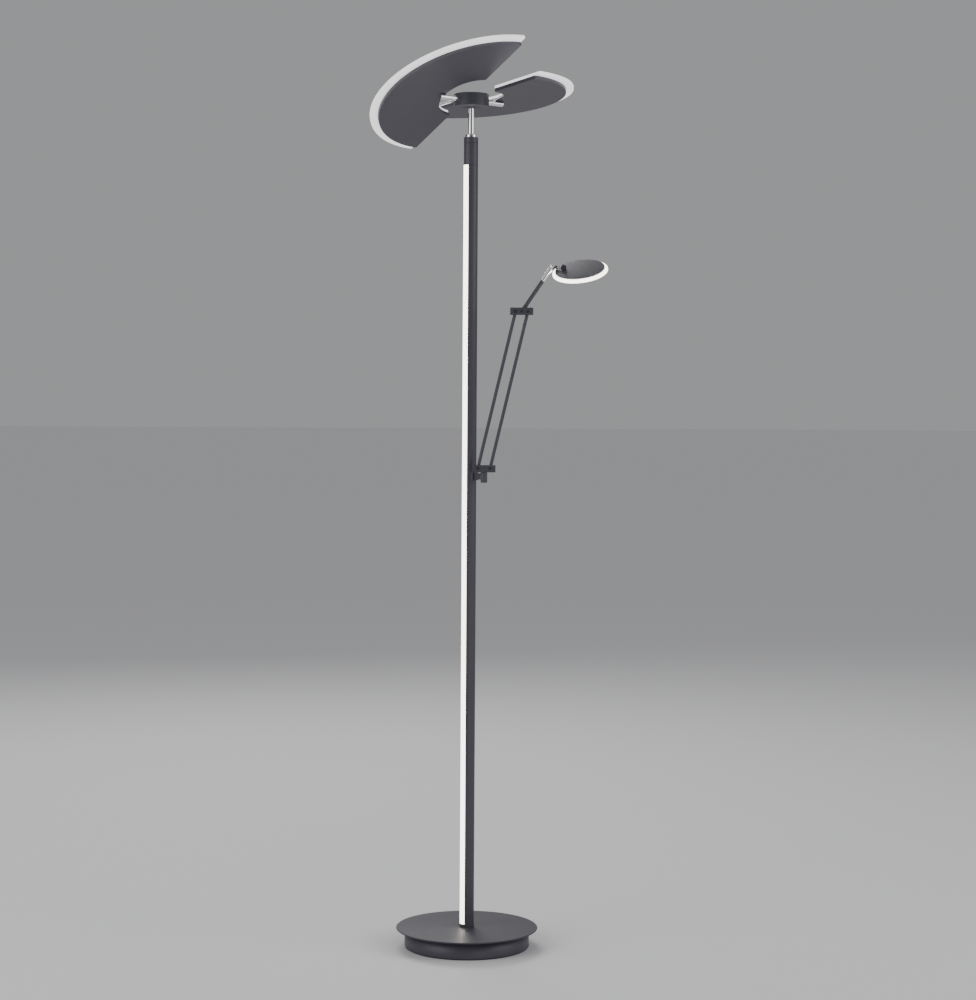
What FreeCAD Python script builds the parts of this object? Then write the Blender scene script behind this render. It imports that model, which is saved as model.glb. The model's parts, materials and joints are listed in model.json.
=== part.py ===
import FreeCAD, Part
import math
import os

from FreeCAD import Placement, Rotation, Vector

# Torchiere floor lamp: weighted disc base, lit round column, two tilting half-ring
# panels on a hub and a parallelogram reading arm. Millimetres and degrees.
# Origin: centre of the felt pad on the floor. +Z up, +X along the panels' pivot line.

# ---- Fits ----
RUN_FIT = 0.05        # radial gap of a shaft that turns in its bore
SLIDE_FIT = 0.15      # gap around a piece that is pushed into place
BODY_GAP = 0.3        # gap between faces of bodies that move past each other
PAN_HEAD = 1.8        # pan head's radius over the shank's
PAN_HEIGHT = 1.1      # pan head's height over the shank's radius
FLUSH_HEAD = 1.9      # countersunk head's radius over the shank's

# ---- Base ----
BASE_HEIGHT = 38.4
PAD_THICKNESS = 2.0
SKIRT_RADIUS = 123.3
SHEET = 1.5
BOTTOM_PLATE_THICKNESS = 2.0
TOP_DISC_RADIUS = 140.0
TOP_DISC_THICKNESS = 2.8
WEIGHT_RADIUS = 112.0
WEIGHT_THICKNESS = 22.0
WEIGHT_BOSS_RADIUS = 30.0
DRIVER_SIZE = (96.0, 38.0, 22.0)
DRIVER_CENTRE_Y = 61.0
PLATE_SCREW_CIRCLE = 98.0
PLATE_SCREW_RADIUS = 2.0
PAD_INSET = 1.0
SKIRT_LIP = 8.0
DRIVER_FILLET = 3.0
DRIVER_ROOM = 2.0
COUNTERBORE_RADIUS = 12.0
COUNTERBORE_DEPTH = 9.0
BOLT_HEAD_HALF_FLATS = 8.0
BOLT_HEAD_HEIGHT = 6.4
BOLT_REACH = 16.0          # bolt above the foot plug's top
BOLT_WASHER_RADIUS = 10.0
BOLT_WASHER_THICKNESS = 2.0
PLATE_SCREW_LENGTH = 12.0
PLATE_SCREW_BITE = 10.5
GROMMET_NECK = 1.8
GROMMET_FLANGE = 3.4
GROMMET_CROWN = 2.6
INLET_BORE_RADIUS = 3.6
INLET_HEIGHT = 18.0
BOLT_RADIUS = 5.0
WIRE_RADIUS = 2.2
WIRE_OFFSET = 8.6

# ---- Column ----
COLUMN_RADIUS = 14.0
COLUMN_WALL = 1.6
FOOT_HEIGHT = 6.6
PROFILE_TOP = 1540.0
SPIGOT_LENGTH = 26.0
STRIP_SLOT_WIDTH = 14.6
STRIP_SLOT_DEPTH = 6.4
DIFFUSER_DEPTH = 4.5
LED_STRIP_WIDTH = 10.0
LED_STRIP_THICKNESS = 1.4
CAP_HEIGHT = 43.0
TOUCH_RING_HEIGHT = 11.0
SEAM = 0.4
STRIP_END_GAP = 5.0
STEM_SOCKET = 10.0         # cap below the stem's foot
STEM_THREAD = 4.8          # stem above the nut's seat
NUT_HALF_FLATS = 7.5
NUT_HEIGHT = 4.0
COLLAR_CHAMFER = 1.2
COLLAR_RADIUS = 11.25
COLLAR_HEIGHT = 6.0
STEM_RADIUS = 5.8
STEM_BORE_RADIUS = 4.0
STEM_VISIBLE = 54.0

# ---- Hub ----
HUB_RADIUS = 34.7
HUB_WALL = 2.5
HUB_FLOOR = 3.0
HUB_COVER = 2.0
HUB_SCREW_OFFSET = 27.0
PIVOT_ROOM_BELOW = 7.0     # from the rod's underside to the hub's underside
PIVOT_ROOM_ABOVE = 6.0     # from the rod's top to the hub's top
CARRIER_SIDE = 5.0         # carrier beyond the rod on each side
CARRIER_WEB = 1.6
WINDOW_HALF = 17.0
BUSH_WALL = 1.2
BUSH_FLANGE = 1.5
FLANGE_LIP = 2.3           # flange beyond the rod, and so on below
CLIP_LIP = 1.9
WASHER_LIP = 1.7
GROOVE_DEPTH = 1.2
HUB_POST_RADIUS = 3.5
HUB_CHAMFER = 0.6
HUB_SCREW_LENGTH = 10.0
COVER_SPIGOT_DEPTH = 1.2
COVER_SPIGOT_WALL = 1.85
CARRIER_CROWN = 1.0        # carrier above the bush
BUSH_RECESS = 0.3
CLIP_THICKNESS = 1.2
WASHER_THICKNESS = 1.4

# ---- Panels ----
PANEL_RADIUS = 200.9
TRAY_RADIUS = 186.0
RING_BORE_RADIUS = 64.0
HALF_GAP = 8.2
TRAY_THICKNESS = 6.6
TRAY_WALL = 1.5
PANEL_THICKNESS = 4.9
CORNER_RADIUS = 1.5
SEAT_RISE = 4.6            # tray's underside above the pivot line
PIVOT_ROD_RADIUS = 5.5
PIVOT_ROD_REACH = 77.0
BOARD_THICKNESS = 1.6
BOARD_MARGIN = 3.0
BOARD_SCREW_COUNT = 5
BOARD_SCREW_RADIUS = 1.2
BOARD_SCREW_SPREAD = 64.0
PANEL_KEY_DEPTH = 1.4
ROD_WINDOW_HALF = 7.0
ROD_SEAT_HALF = 8.0
ROD_SCREW_LENGTH = 7.0
ROD_SCREW_INSETS = (4.5, 9.5)
ROD_TAIL = 1.8             # rod past its clip
ROD_END = 1.2              # rod beyond its groove
CLIP_PLAY = 0.05
ROD_SCREW_RADIUS = 1.5
LEFT_TILT = -25.8
RIGHT_TILT = -5.0
LEAD_RADIUS = 1.6
LEAD_AZIMUTH = 38.5        # feed lead's angle past the pivot line
LEAD_DROP = 2.0
LEAD_STRAIGHT = 7.0
LEAD_END_GAP = 2.6

# ---- Reading arm ----
ARM_YAW = -38.5
SWIVEL_OFFSET = 46.6
SWIVEL_TOP = 939.3
BOSS_RADIUS = 6.6
BOSS_HEIGHT = 17.3
SADDLE_HEIGHT = 16.0
SADDLE_WIDTH = 15.0
SADDLE_DEPTH = 6.0
SWIVEL_PIN_RADIUS = 4.0
SWIVEL_CAP_HEIGHT = 2.4
BAR_LENGTH = 45.0
BAR_WIDTH = 13.0
BAR_HEIGHT = 14.0
BAR_FLOOR = 3.0
BAR_SLOT = 7.4
BAR_FILLET = 1.5
BAR_LIP = 6.4              # pivot to the bar's open face
PIVOT_SPACING = 24.0
PIN_HEAD_HEIGHT = 0.8
PIN_HEAD_LIP = 0.9
BRACKET_NECK_HALF = 4.0
BRACKET_SCREW_INSET = 4.0
BRACKET_SCREW_LENGTH = 8.0
LINK_LENGTH = 314.0
LINK_LEAN = 13.2
LINK_RADIUS = 3.25
EYE_RADIUS = 3.6
EYE_THICKNESS = 7.0
ARM_PIN_RADIUS = 2.0
OPEN_PIVOT_GAP = 0.25
UPPER_ARM_RADIUS = 4.0
UPPER_ARM_LENGTH = 104.0
UPPER_ARM_LEAN = 34.0
UPPER_ARM_EYE_LIP = 0.4
SPIGOT_STEP = 0.8
SPIGOT_SHORT = 11.0        # spigot's end to the tilt pin
FORK_RISE = 4.0            # fork past the tilt pin
FORK_FLOOR = 1.2           # fork's slot below the knuckle
SLEEVE_RADIUS = 5.0
SLEEVE_LENGTH = 28.0

# ---- Reading head ----
HEAD_YAW = -18.0
HEAD_ROLL = 25.8
HEAD_REACH = 56.0
HEAD_DROP = 10.0
HEAD_RADIUS = 54.0
HEAD_DIFFUSER_THICKNESS = 6.5
HEAD_COVER_RADIUS = 48.5
HEAD_COVER_THICKNESS = 3.0
HEAD_COVER_SKIN = 1.2
HEAD_BOARD_MARGIN = 4.0
KNUCKLE_RADIUS = 3.6
KNUCKLE_THICKNESS = 3.6
KNUCKLE_REACH = 10.5
TILT_PIN_RADIUS = 1.5
SPINDLE_RADIUS = 1.8
TILT_PIN_PROUD = 0.6
SPINDLE_DEPTH = 6.0
SPINDLE_START = 2.9
BRACKET_CROWN = 1.2
BRACKET_START = 19.5
BRACKET_LENGTH = 8.0
BRACKET_WIDTH = 7.6

ORIGIN = Vector(0, 0, 0)
UP = Vector(0, 0, 1)
ACROSS = Vector(1, 0, 0)
EPS = 1.0                  # run-out of a cutting tool past the face it cuts

# ---- Levels that follow ----
LIP_TOP = PAD_THICKNESS + SHEET
WEIGHT_BOTTOM = LIP_TOP + BOTTOM_PLATE_THICKNESS
DISC_BOTTOM = BASE_HEIGHT - TOP_DISC_THICKNESS
PROFILE_BOTTOM = BASE_HEIGHT + FOOT_HEIGHT
CAP_TOP = PROFILE_TOP + CAP_HEIGHT
RING_TOP = CAP_TOP + TOUCH_RING_HEIGHT
COLLAR_TOP = RING_TOP + COLLAR_HEIGHT
HUB_BOTTOM = COLLAR_TOP + STEM_VISIBLE
PIVOT_Z = HUB_BOTTOM + PIVOT_ROOM_BELOW + PIVOT_ROD_RADIUS
HUB_TOP = PIVOT_Z + PIVOT_ROD_RADIUS + PIVOT_ROOM_ABOVE
CAVITY_RADIUS = COLUMN_RADIUS - COLUMN_WALL
SLOT_BACK = -COLUMN_RADIUS + STRIP_SLOT_DEPTH
CAVITY_START = SLOT_BACK + COLUMN_WALL


def cylinder(radius, bottom, top, x=0.0, y=0.0):
    """Upright cylinder between two heights."""
    return Part.makeCylinder(radius, top - bottom, Vector(x, y, bottom))


def tube(outer, inner, bottom, top, x=0.0, y=0.0):
    """Upright ring or tube between two heights."""
    bore = cylinder(inner, bottom - EPS, top + EPS, x, y)
    return cylinder(outer, bottom, top, x, y).cut(bore)


def block(x_span, y_span, z_span):
    """Box from three (low, high) spans."""
    size = [high - low for low, high in (x_span, y_span, z_span)]
    return Part.makeBox(*size, Vector(x_span[0], y_span[0], z_span[0]))


def rod(radius, start, end):
    """Cylinder between two points."""
    return Part.makeCylinder(radius, (end - start).Length, start, end - start)


def turned(outline):
    """Solid of revolution about Z from (radius, height) points."""
    points = [Vector(radius, 0, height) for radius, height in outline]
    face = Part.Face(Part.makePolygon(points + points[:1]))
    return face.revolve(ORIGIN, UP, 360)


def group(shapes):
    """Separate solids kept together as one node."""
    return Part.makeCompound(list(shapes))


def pan_screw(radius, length):
    """Screw along -Z with its head's underside at the origin."""
    head = radius * PAN_HEAD
    height = radius * PAN_HEIGHT
    outline = [(0, -length), (radius, -length), (radius, 0), (head, 0)]
    outline += [(head, height * 0.6), (head * 0.7, height), (0, height)]
    return turned(outline)


def flush_screw(radius, length):
    """Countersunk screw along -Z with its flat face at the origin."""
    head = radius * FLUSH_HEAD
    drop = head - radius
    return turned([(0, 0), (head, 0), (radius, -drop), (radius, -length), (0, -length)])


def moved(shape, position, x_axis=None, z_axis=None):
    """Copy of a shape with its local axes turned and its origin moved."""
    turn = Rotation()
    if z_axis is not None:
        side = x_axis or Vector(0, 1, 0).cross(z_axis)
        turn = Rotation(side, z_axis.cross(side), z_axis, "ZXY")
    result = shape.copy()
    result.Placement = Placement(position, turn).multiply(result.Placement)
    return result


def base_parts():
    """Felt pad, sheet drum, cast weight, driver, top disc and their fasteners."""
    pad = cylinder(SKIRT_RADIUS - PAD_INSET, 0, PAD_THICKNESS)
    inner = SKIRT_RADIUS - SHEET
    skirt = turned([
        (inner - SKIRT_LIP, PAD_THICKNESS), (SKIRT_RADIUS, PAD_THICKNESS),
        (SKIRT_RADIUS, DISC_BOTTOM), (inner, DISC_BOTTOM),
        (inner, LIP_TOP), (inner - SKIRT_LIP, LIP_TOP),
    ])
    plate = cylinder(inner - SLIDE_FIT, LIP_TOP, WEIGHT_BOTTOM)
    weight = cylinder(WEIGHT_RADIUS, WEIGHT_BOTTOM, WEIGHT_BOTTOM + WEIGHT_THICKNESS)
    weight = weight.fuse(cylinder(WEIGHT_BOSS_RADIUS, WEIGHT_BOTTOM, DISC_BOTTOM)).removeSplitter()
    disc = cylinder(TOP_DISC_RADIUS, DISC_BOTTOM, BASE_HEIGHT)
    rims = [edge for edge in disc.Edges if edge.BoundBox.ZLength < 0.01 and edge.Length > TOP_DISC_RADIUS]
    disc = disc.makeChamfer(min(1.0, TOP_DISC_THICKNESS / 3), rims)

    length, width, height = DRIVER_SIZE
    x_half = length / 2
    y_low = DRIVER_CENTRE_Y - width / 2
    y_high = DRIVER_CENTRE_Y + width / 2
    floor = WEIGHT_BOTTOM
    driver = block((-x_half, x_half), (y_low, y_high), (floor, floor + height))
    corners = [edge for edge in driver.Edges if edge.BoundBox.ZLength > height / 2]
    driver = driver.makeFillet(DRIVER_FILLET, corners)
    pocket = block((-x_half - DRIVER_ROOM, x_half + DRIVER_ROOM), (y_low - DRIVER_ROOM, y_high + DRIVER_ROOM),
                   (floor - EPS, DISC_BOTTOM + EPS))
    weight = weight.cut(pocket)

    head_room = floor + COUNTERBORE_DEPTH
    washer_low = head_room - BOLT_WASHER_THICKNESS
    bolt_head = Part.Face(hexagon(BOLT_HEAD_HALF_FLATS, washer_low - BOLT_HEAD_HEIGHT))
    bolt_head = bolt_head.extrude(Vector(0, 0, BOLT_HEAD_HEIGHT))
    bolt_top = PROFILE_BOTTOM + BOLT_REACH
    bolt = bolt_head.fuse(cylinder(BOLT_RADIUS, washer_low, bolt_top)).removeSplitter()
    washer = tube(BOLT_WASHER_RADIUS, BOLT_RADIUS + SLIDE_FIT, washer_low, head_room)
    bolt_hole = cylinder(BOLT_RADIUS + SLIDE_FIT, floor - EPS, BASE_HEIGHT + EPS)
    wire_hole = cylinder(WIRE_RADIUS, DISC_BOTTOM - EPS, BASE_HEIGHT + EPS, WIRE_OFFSET)
    wire_slot = cylinder(WIRE_RADIUS, floor - EPS, BASE_HEIGHT + EPS, WIRE_OFFSET)
    counterbore = cylinder(COUNTERBORE_RADIUS, floor - EPS, head_room)
    weight = weight.cut(bolt_hole).cut(counterbore).cut(wire_slot)
    disc = disc.cut(bolt_hole).cut(wire_hole)

    screws = []
    for azimuth in (-90, 30, 150):
        angle = math.radians(azimuth)
        x = PLATE_SCREW_CIRCLE * math.cos(angle)
        y = PLATE_SCREW_CIRCLE * math.sin(angle)
        screw = flush_screw(PLATE_SCREW_RADIUS, PLATE_SCREW_LENGTH)
        screw.rotate(ORIGIN, ACROSS, 180)
        screws.append(moved(screw, Vector(x, y, LIP_TOP)))
        head = PLATE_SCREW_RADIUS * FLUSH_HEAD + SLIDE_FIT
        shank = PLATE_SCREW_RADIUS + SLIDE_FIT
        drop = head - shank
        sink = Part.makeCone(head, shank, drop, Vector(x, y, LIP_TOP))
        hole = cylinder(shank, LIP_TOP, WEIGHT_BOTTOM + PLATE_SCREW_BITE, x, y)
        plate = plate.cut(sink).cut(hole)
        weight = weight.cut(hole).cut(sink)

    wall_outer = SKIRT_RADIUS
    grommet = turned([
        (INLET_BORE_RADIUS, -5.5), (INLET_BORE_RADIUS + GROMMET_FLANGE, -5.5),
        (INLET_BORE_RADIUS + GROMMET_FLANGE, -SHEET - 1.2), (INLET_BORE_RADIUS + GROMMET_NECK, -SHEET - 1.2),
        (INLET_BORE_RADIUS + GROMMET_NECK, 0.6), (INLET_BORE_RADIUS + 3.8, 0.6),
        (INLET_BORE_RADIUS + 2.8, GROMMET_CROWN), (INLET_BORE_RADIUS, GROMMET_CROWN),
    ])
    grommet = moved(grommet, Vector(0, wall_outer, INLET_HEIGHT), ACROSS, Vector(0, 1, 0))
    inlet_hole = rod(INLET_BORE_RADIUS + GROMMET_NECK + SLIDE_FIT, Vector(0, inner - SKIRT_LIP, INLET_HEIGHT),
                     Vector(0, wall_outer + 8, INLET_HEIGHT))
    return {
        "base_felt_pad": pad,
        "base_skirt": skirt.cut(inlet_hole),
        "base_bottom_plate": plate,
        "base_weight": weight,
        "base_top_disc": disc,
        "base_plate_screws": group(screws),
        "column_bolt": bolt,
        "column_bolt_washer": washer,
        "led_driver_box": driver,
        "cord_inlet_grommet": grommet,
    }


def hexagon(half_flats, height):
    """Hexagonal wire in a level plane."""
    radius = half_flats / math.cos(math.radians(30))
    corners = [math.radians(60 * step) for step in range(7)]
    return Part.makePolygon([Vector(radius * math.cos(a), radius * math.sin(a), height) for a in corners])


def column_section(bottom, top, radius, start):
    """D-shaped bar that fills the wire cavity, drawn in by its own fit."""
    bar = cylinder(radius, bottom, top)
    return bar.common(block((start, radius + 1), (-radius - 1, radius + 1), (bottom, top)))


def column_parts():
    """Foot plug, slotted round profile, light strip, cap, touch ring, collar and stem."""
    half = STRIP_SLOT_WIDTH / 2
    bottom, top = PROFILE_BOTTOM, PROFILE_TOP
    round_bar = cylinder(COLUMN_RADIUS, bottom, top)
    channel = block((-COLUMN_RADIUS - 1, SLOT_BACK), (-half, half), (bottom - EPS, top + EPS))
    cavity = column_section(bottom - EPS, top + EPS, CAVITY_RADIUS, CAVITY_START)
    profile = round_bar.cut(channel).cut(cavity)

    lens_half = half - SLIDE_FIT
    lens = cylinder(COLUMN_RADIUS, bottom, top).common(
        block((-COLUMN_RADIUS - 1, -COLUMN_RADIUS + DIFFUSER_DEPTH), (-lens_half, lens_half), (bottom, top)))
    strip_back = SLOT_BACK - LED_STRIP_THICKNESS
    strip_half = LED_STRIP_WIDTH / 2
    strip = block((strip_back, SLOT_BACK), (-strip_half, strip_half), (bottom + STRIP_END_GAP, top - STRIP_END_GAP))

    spigot_radius = CAVITY_RADIUS - SLIDE_FIT
    spigot_start = CAVITY_START + SLIDE_FIT
    foot = cylinder(COLUMN_RADIUS, BASE_HEIGHT, bottom)
    foot = foot.fuse(column_section(bottom, bottom + SPIGOT_LENGTH, spigot_radius, spigot_start))
    foot = foot.removeSplitter()
    foot = foot.cut(cylinder(BOLT_RADIUS + RUN_FIT, BASE_HEIGHT - EPS, bottom + BOLT_REACH + 2 * EPS))
    foot = foot.cut(cylinder(WIRE_RADIUS, BASE_HEIGHT - EPS, bottom + SPIGOT_LENGTH + EPS, WIRE_OFFSET))

    stem_hole = STEM_RADIUS + RUN_FIT
    cap = cylinder(COLUMN_RADIUS, top, CAP_TOP)
    cap = cap.fuse(column_section(top - SPIGOT_LENGTH, top, spigot_radius, spigot_start)).removeSplitter()
    cap = cap.cut(cylinder(stem_hole, top + STEM_SOCKET, CAP_TOP + EPS))
    wire_radius = min(STEM_BORE_RADIUS, -spigot_start)
    cap = cap.cut(cylinder(max(wire_radius, 3.0), top - SPIGOT_LENGTH - EPS, top + STEM_SOCKET + EPS, 1.0))

    ring = turned([
        (stem_hole, CAP_TOP), (COLUMN_RADIUS - SEAM, CAP_TOP), (COLUMN_RADIUS - SEAM, CAP_TOP + SEAM),
        (COLUMN_RADIUS, CAP_TOP + SEAM), (COLUMN_RADIUS, RING_TOP - SEAM),
        (COLUMN_RADIUS - SEAM, RING_TOP), (stem_hole, RING_TOP),
    ])
    collar = turned([
        (stem_hole, RING_TOP), (COLLAR_RADIUS, RING_TOP), (COLLAR_RADIUS, COLLAR_TOP - COLLAR_CHAMFER),
        (COLLAR_RADIUS - COLLAR_CHAMFER, COLLAR_TOP), (stem_hole, COLLAR_TOP),
    ])
    nut_bottom = HUB_BOTTOM + HUB_FLOOR + CARRIER_WEB
    stem = tube(STEM_RADIUS, STEM_BORE_RADIUS, top + STEM_SOCKET, nut_bottom + STEM_THREAD)
    nut = Part.Face(hexagon(NUT_HALF_FLATS, nut_bottom)).extrude(Vector(0, 0, NUT_HEIGHT))
    nut = nut.cut(cylinder(stem_hole, nut_bottom - EPS, nut_bottom + NUT_HEIGHT + EPS))
    return {
        "column_foot": foot,
        "column_profile": profile,
        "column_diffuser": lens,
        "column_led_strip": strip,
        "column_top_cap": cap,
        "touch_dimmer_ring": ring,
        "stem_collar": collar,
        "stem_tube": stem,
        "stem_lock_nut": nut,
    }


def hub_parts():
    """Round hub shell with cover, pivot carrier, bushes and screws."""
    stem_hole = cylinder(STEM_RADIUS + RUN_FIT, HUB_BOTTOM - EPS, HUB_BOTTOM + HUB_FLOOR + CARRIER_WEB + EPS)
    inner = HUB_RADIUS - HUB_WALL
    floor = HUB_BOTTOM + HUB_FLOOR
    rim = HUB_TOP - HUB_COVER
    shell = cylinder(HUB_RADIUS, HUB_BOTTOM, rim).cut(cylinder(inner, floor, rim + EPS))
    cover = cylinder(HUB_RADIUS, rim, HUB_TOP)
    edges = [edge for edge in cover.Edges if edge.BoundBox.ZMin > HUB_TOP - 0.01]
    cover = cover.makeChamfer(HUB_CHAMFER, edges)
    cover = cover.fuse(tube(inner - SLIDE_FIT, inner - SLIDE_FIT - COVER_SPIGOT_WALL, rim - COVER_SPIGOT_DEPTH, rim))
    cover = cover.removeSplitter()

    screws = []
    for side in (-1, 1):
        y = side * HUB_SCREW_OFFSET
        post = cylinder(HUB_POST_RADIUS, floor, rim, 0, y)
        pilot = cylinder(ROD_SCREW_RADIUS + SLIDE_FIT, rim - 12, HUB_TOP + EPS, 0, y)
        sink_radius = ROD_SCREW_RADIUS * FLUSH_HEAD + SLIDE_FIT
        sink = Part.makeCone(ROD_SCREW_RADIUS, sink_radius, sink_radius - ROD_SCREW_RADIUS,
                             Vector(0, y, HUB_TOP - sink_radius + ROD_SCREW_RADIUS))
        shell = shell.fuse(post).cut(pilot)
        cover = cover.cut(cylinder(HUB_POST_RADIUS + SLIDE_FIT, rim - 2, rim, 0, y)).cut(pilot).cut(sink)
        screws.append(moved(flush_screw(ROD_SCREW_RADIUS, HUB_SCREW_LENGTH), Vector(0, y, HUB_TOP)))
    shell = shell.removeSplitter().cut(stem_hole)

    bush_radius = PIVOT_ROD_RADIUS + RUN_FIT + BUSH_WALL
    carrier_half = PIVOT_ROD_RADIUS + CARRIER_SIDE
    carrier_end = math.sqrt(inner ** 2 - carrier_half ** 2) - 1.0
    wide = (-carrier_half, carrier_half)
    carrier = block((-carrier_end, carrier_end), wide, (floor, PIVOT_Z + bush_radius + CARRIER_CROWN))
    window_half = PIVOT_ROD_RADIUS + FLANGE_LIP + 0.4
    window = block((-WINDOW_HALF, WINDOW_HALF), (-window_half, window_half), (floor + CARRIER_WEB, HUB_TOP))
    bore = rod(bush_radius, Vector(-HUB_RADIUS - 1, 0, PIVOT_Z), Vector(HUB_RADIUS + 1, 0, PIVOT_Z))
    carrier = carrier.cut(window).cut(bore).cut(stem_hole)
    shell = shell.cut(bore)

    bush_end = math.sqrt(HUB_RADIUS ** 2 - bush_radius ** 2) - BUSH_RECESS
    flange = WINDOW_HALF - BUSH_FLANGE
    flange_radius = PIVOT_ROD_RADIUS + FLANGE_LIP
    bush = turned([
        (PIVOT_ROD_RADIUS + RUN_FIT, flange), (flange_radius, flange), (flange_radius, WINDOW_HALF),
        (bush_radius, WINDOW_HALF), (bush_radius, bush_end), (PIVOT_ROD_RADIUS + RUN_FIT, bush_end),
    ])
    right_bush = moved(bush, Vector(0, 0, PIVOT_Z), Vector(0, 1, 0), ACROSS)
    left_bush = moved(bush, Vector(0, 0, PIVOT_Z), Vector(0, -1, 0), -ACROSS)
    for angle in (180 - LEAD_AZIMUTH, -LEAD_AZIMUTH):
        out = Vector(math.cos(math.radians(angle)), math.sin(math.radians(angle)), 0)
        start = out * (inner - 4) + Vector(0, 0, PIVOT_Z - LEAD_DROP)
        shell = shell.cut(rod(LEAD_RADIUS + SLIDE_FIT, start, start + out * 8))
    return {
        "hub_shell": shell,
        "hub_cover": cover,
        "hub_cover_screws": group(screws),
        "hub_pivot_carrier": carrier,
        "pivot_bushes": group([left_bush, right_bush]),
    }


def half_ring(outer, inner, gap, bottom, top):
    """Half of a flat ring on the +X side, stopping short of the middle plane."""
    span = (-outer - 1, outer + 1)
    return tube(outer, inner, bottom, top).common(block((gap, outer + 1), span, (bottom, top)))


def rounded_corners(plate, radius):
    """Rounds a flat plate's upright corners."""
    box = plate.BoundBox
    upright = [edge for edge in plate.Edges if abs(edge.BoundBox.ZLength - box.ZLength) < 0.01
               and edge.BoundBox.XLength < 0.01 and edge.BoundBox.YLength < 0.01]
    return plate.makeFillet(radius, upright)


def panel_parts(side_name, tilt, turn):
    """One half-ring light panel, its pivot rod and fasteners, at its rest tilt."""
    bottom = SEAT_RISE
    floor = bottom + TRAY_WALL
    top = bottom + TRAY_THICKNESS
    wall = TRAY_WALL
    tray = rounded_corners(half_ring(TRAY_RADIUS, RING_BORE_RADIUS, HALF_GAP, bottom, top), CORNER_RADIUS)
    inside = half_ring(TRAY_RADIUS - wall, RING_BORE_RADIUS + wall, HALF_GAP + wall, floor, top + EPS)
    tray = tray.cut(inside)
    inset = wall + SLIDE_FIT
    rim_bottom = top - PANEL_KEY_DEPTH
    panel = half_ring(PANEL_RADIUS, RING_BORE_RADIUS, HALF_GAP, top, top + PANEL_THICKNESS)
    panel = rounded_corners(panel, CORNER_RADIUS)
    key = half_ring(TRAY_RADIUS - inset, RING_BORE_RADIUS + inset, HALF_GAP + inset, rim_bottom, top)
    panel = panel.fuse(key).removeSplitter()
    margin = wall + BOARD_MARGIN
    board = half_ring(TRAY_RADIUS - margin, RING_BORE_RADIUS + margin, HALF_GAP + margin,
                      floor, floor + BOARD_THICKNESS)
    rod_window = block((RING_BORE_RADIUS, PIVOT_ROD_REACH + 3), (-ROD_WINDOW_HALF, ROD_WINDOW_HALF),
                       (floor - EPS, floor + BOARD_THICKNESS + EPS))
    board = board.cut(rod_window)

    board_screws = []
    middle = (TRAY_RADIUS + RING_BORE_RADIUS) / 2
    for step in range(BOARD_SCREW_COUNT):
        angle = math.radians(BOARD_SCREW_SPREAD * (2 * step / (BOARD_SCREW_COUNT - 1) - 1))
        x = middle * math.cos(angle)
        y = middle * math.sin(angle)
        screw = pan_screw(BOARD_SCREW_RADIUS, BOARD_THICKNESS + wall / 2)
        board_screws.append(moved(screw, Vector(x, y, floor + BOARD_THICKNESS)))
        hole = cylinder(BOARD_SCREW_RADIUS + SLIDE_FIT, floor - wall / 2 - 0.1, floor + BOARD_THICKNESS + EPS, x, y)
        board = board.cut(hole)
        tray = tray.cut(hole)

    rod_start = WINDOW_HALF - BUSH_FLANGE - WASHER_THICKNESS - CLIP_THICKNESS - ROD_TAIL
    groove_start = rod_start + ROD_END
    groove_end = groove_start + CLIP_THICKNESS + 2 * CLIP_PLAY
    core = PIVOT_ROD_RADIUS - GROOVE_DEPTH
    pivot = rod(PIVOT_ROD_RADIUS, Vector(rod_start, 0, 0), Vector(PIVOT_ROD_REACH, 0, 0))
    groove = rod(PIVOT_ROD_RADIUS + 1, Vector(groove_start, 0, 0), Vector(groove_end, 0, 0))
    groove = groove.cut(rod(core, Vector(groove_start, 0, 0), Vector(groove_end, 0, 0)))
    seat = block((RING_BORE_RADIUS - 1.0, PIVOT_ROD_REACH + 1), (-ROD_SEAT_HALF, ROD_SEAT_HALF),
                 (SEAT_RISE, SEAT_RISE + PIVOT_ROD_RADIUS))
    pivot = pivot.cut(groove).cut(seat)
    clip_start = Vector(groove_start + CLIP_PLAY, 0, 0)
    clip_end = clip_start + ACROSS * CLIP_THICKNESS
    clip = rod(PIVOT_ROD_RADIUS + CLIP_LIP, clip_start, clip_end).cut(rod(core + SLIDE_FIT, clip_start, clip_end))
    washer_end = Vector(WINDOW_HALF - BUSH_FLANGE - 2 * CLIP_PLAY, 0, 0)
    washer_start = Vector(groove_end + CLIP_PLAY, 0, 0)
    washer = rod(PIVOT_ROD_RADIUS + WASHER_LIP, washer_start, washer_end)
    washer = washer.cut(rod(PIVOT_ROD_RADIUS + SLIDE_FIT, washer_start, washer_end))

    rod_screws = []
    for inset_x in ROD_SCREW_INSETS:
        x = RING_BORE_RADIUS + inset_x
        rod_screws.append(moved(pan_screw(ROD_SCREW_RADIUS, ROD_SCREW_LENGTH), Vector(x, 0, floor)))
        hole = cylinder(ROD_SCREW_RADIUS + SLIDE_FIT, floor - ROD_SCREW_LENGTH - SLIDE_FIT, floor + EPS, x)
        pivot = pivot.cut(hole)
        tray = tray.cut(hole)

    angle = math.radians(-LEAD_AZIMUTH)
    out = Vector(math.cos(angle), math.sin(angle), 0)
    inlet = out * (RING_BORE_RADIUS - 3) + Vector(0, 0, (bottom + top) / 2)
    tray = tray.cut(rod(LEAD_RADIUS + BODY_GAP, inlet, inlet + out * 7))

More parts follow.
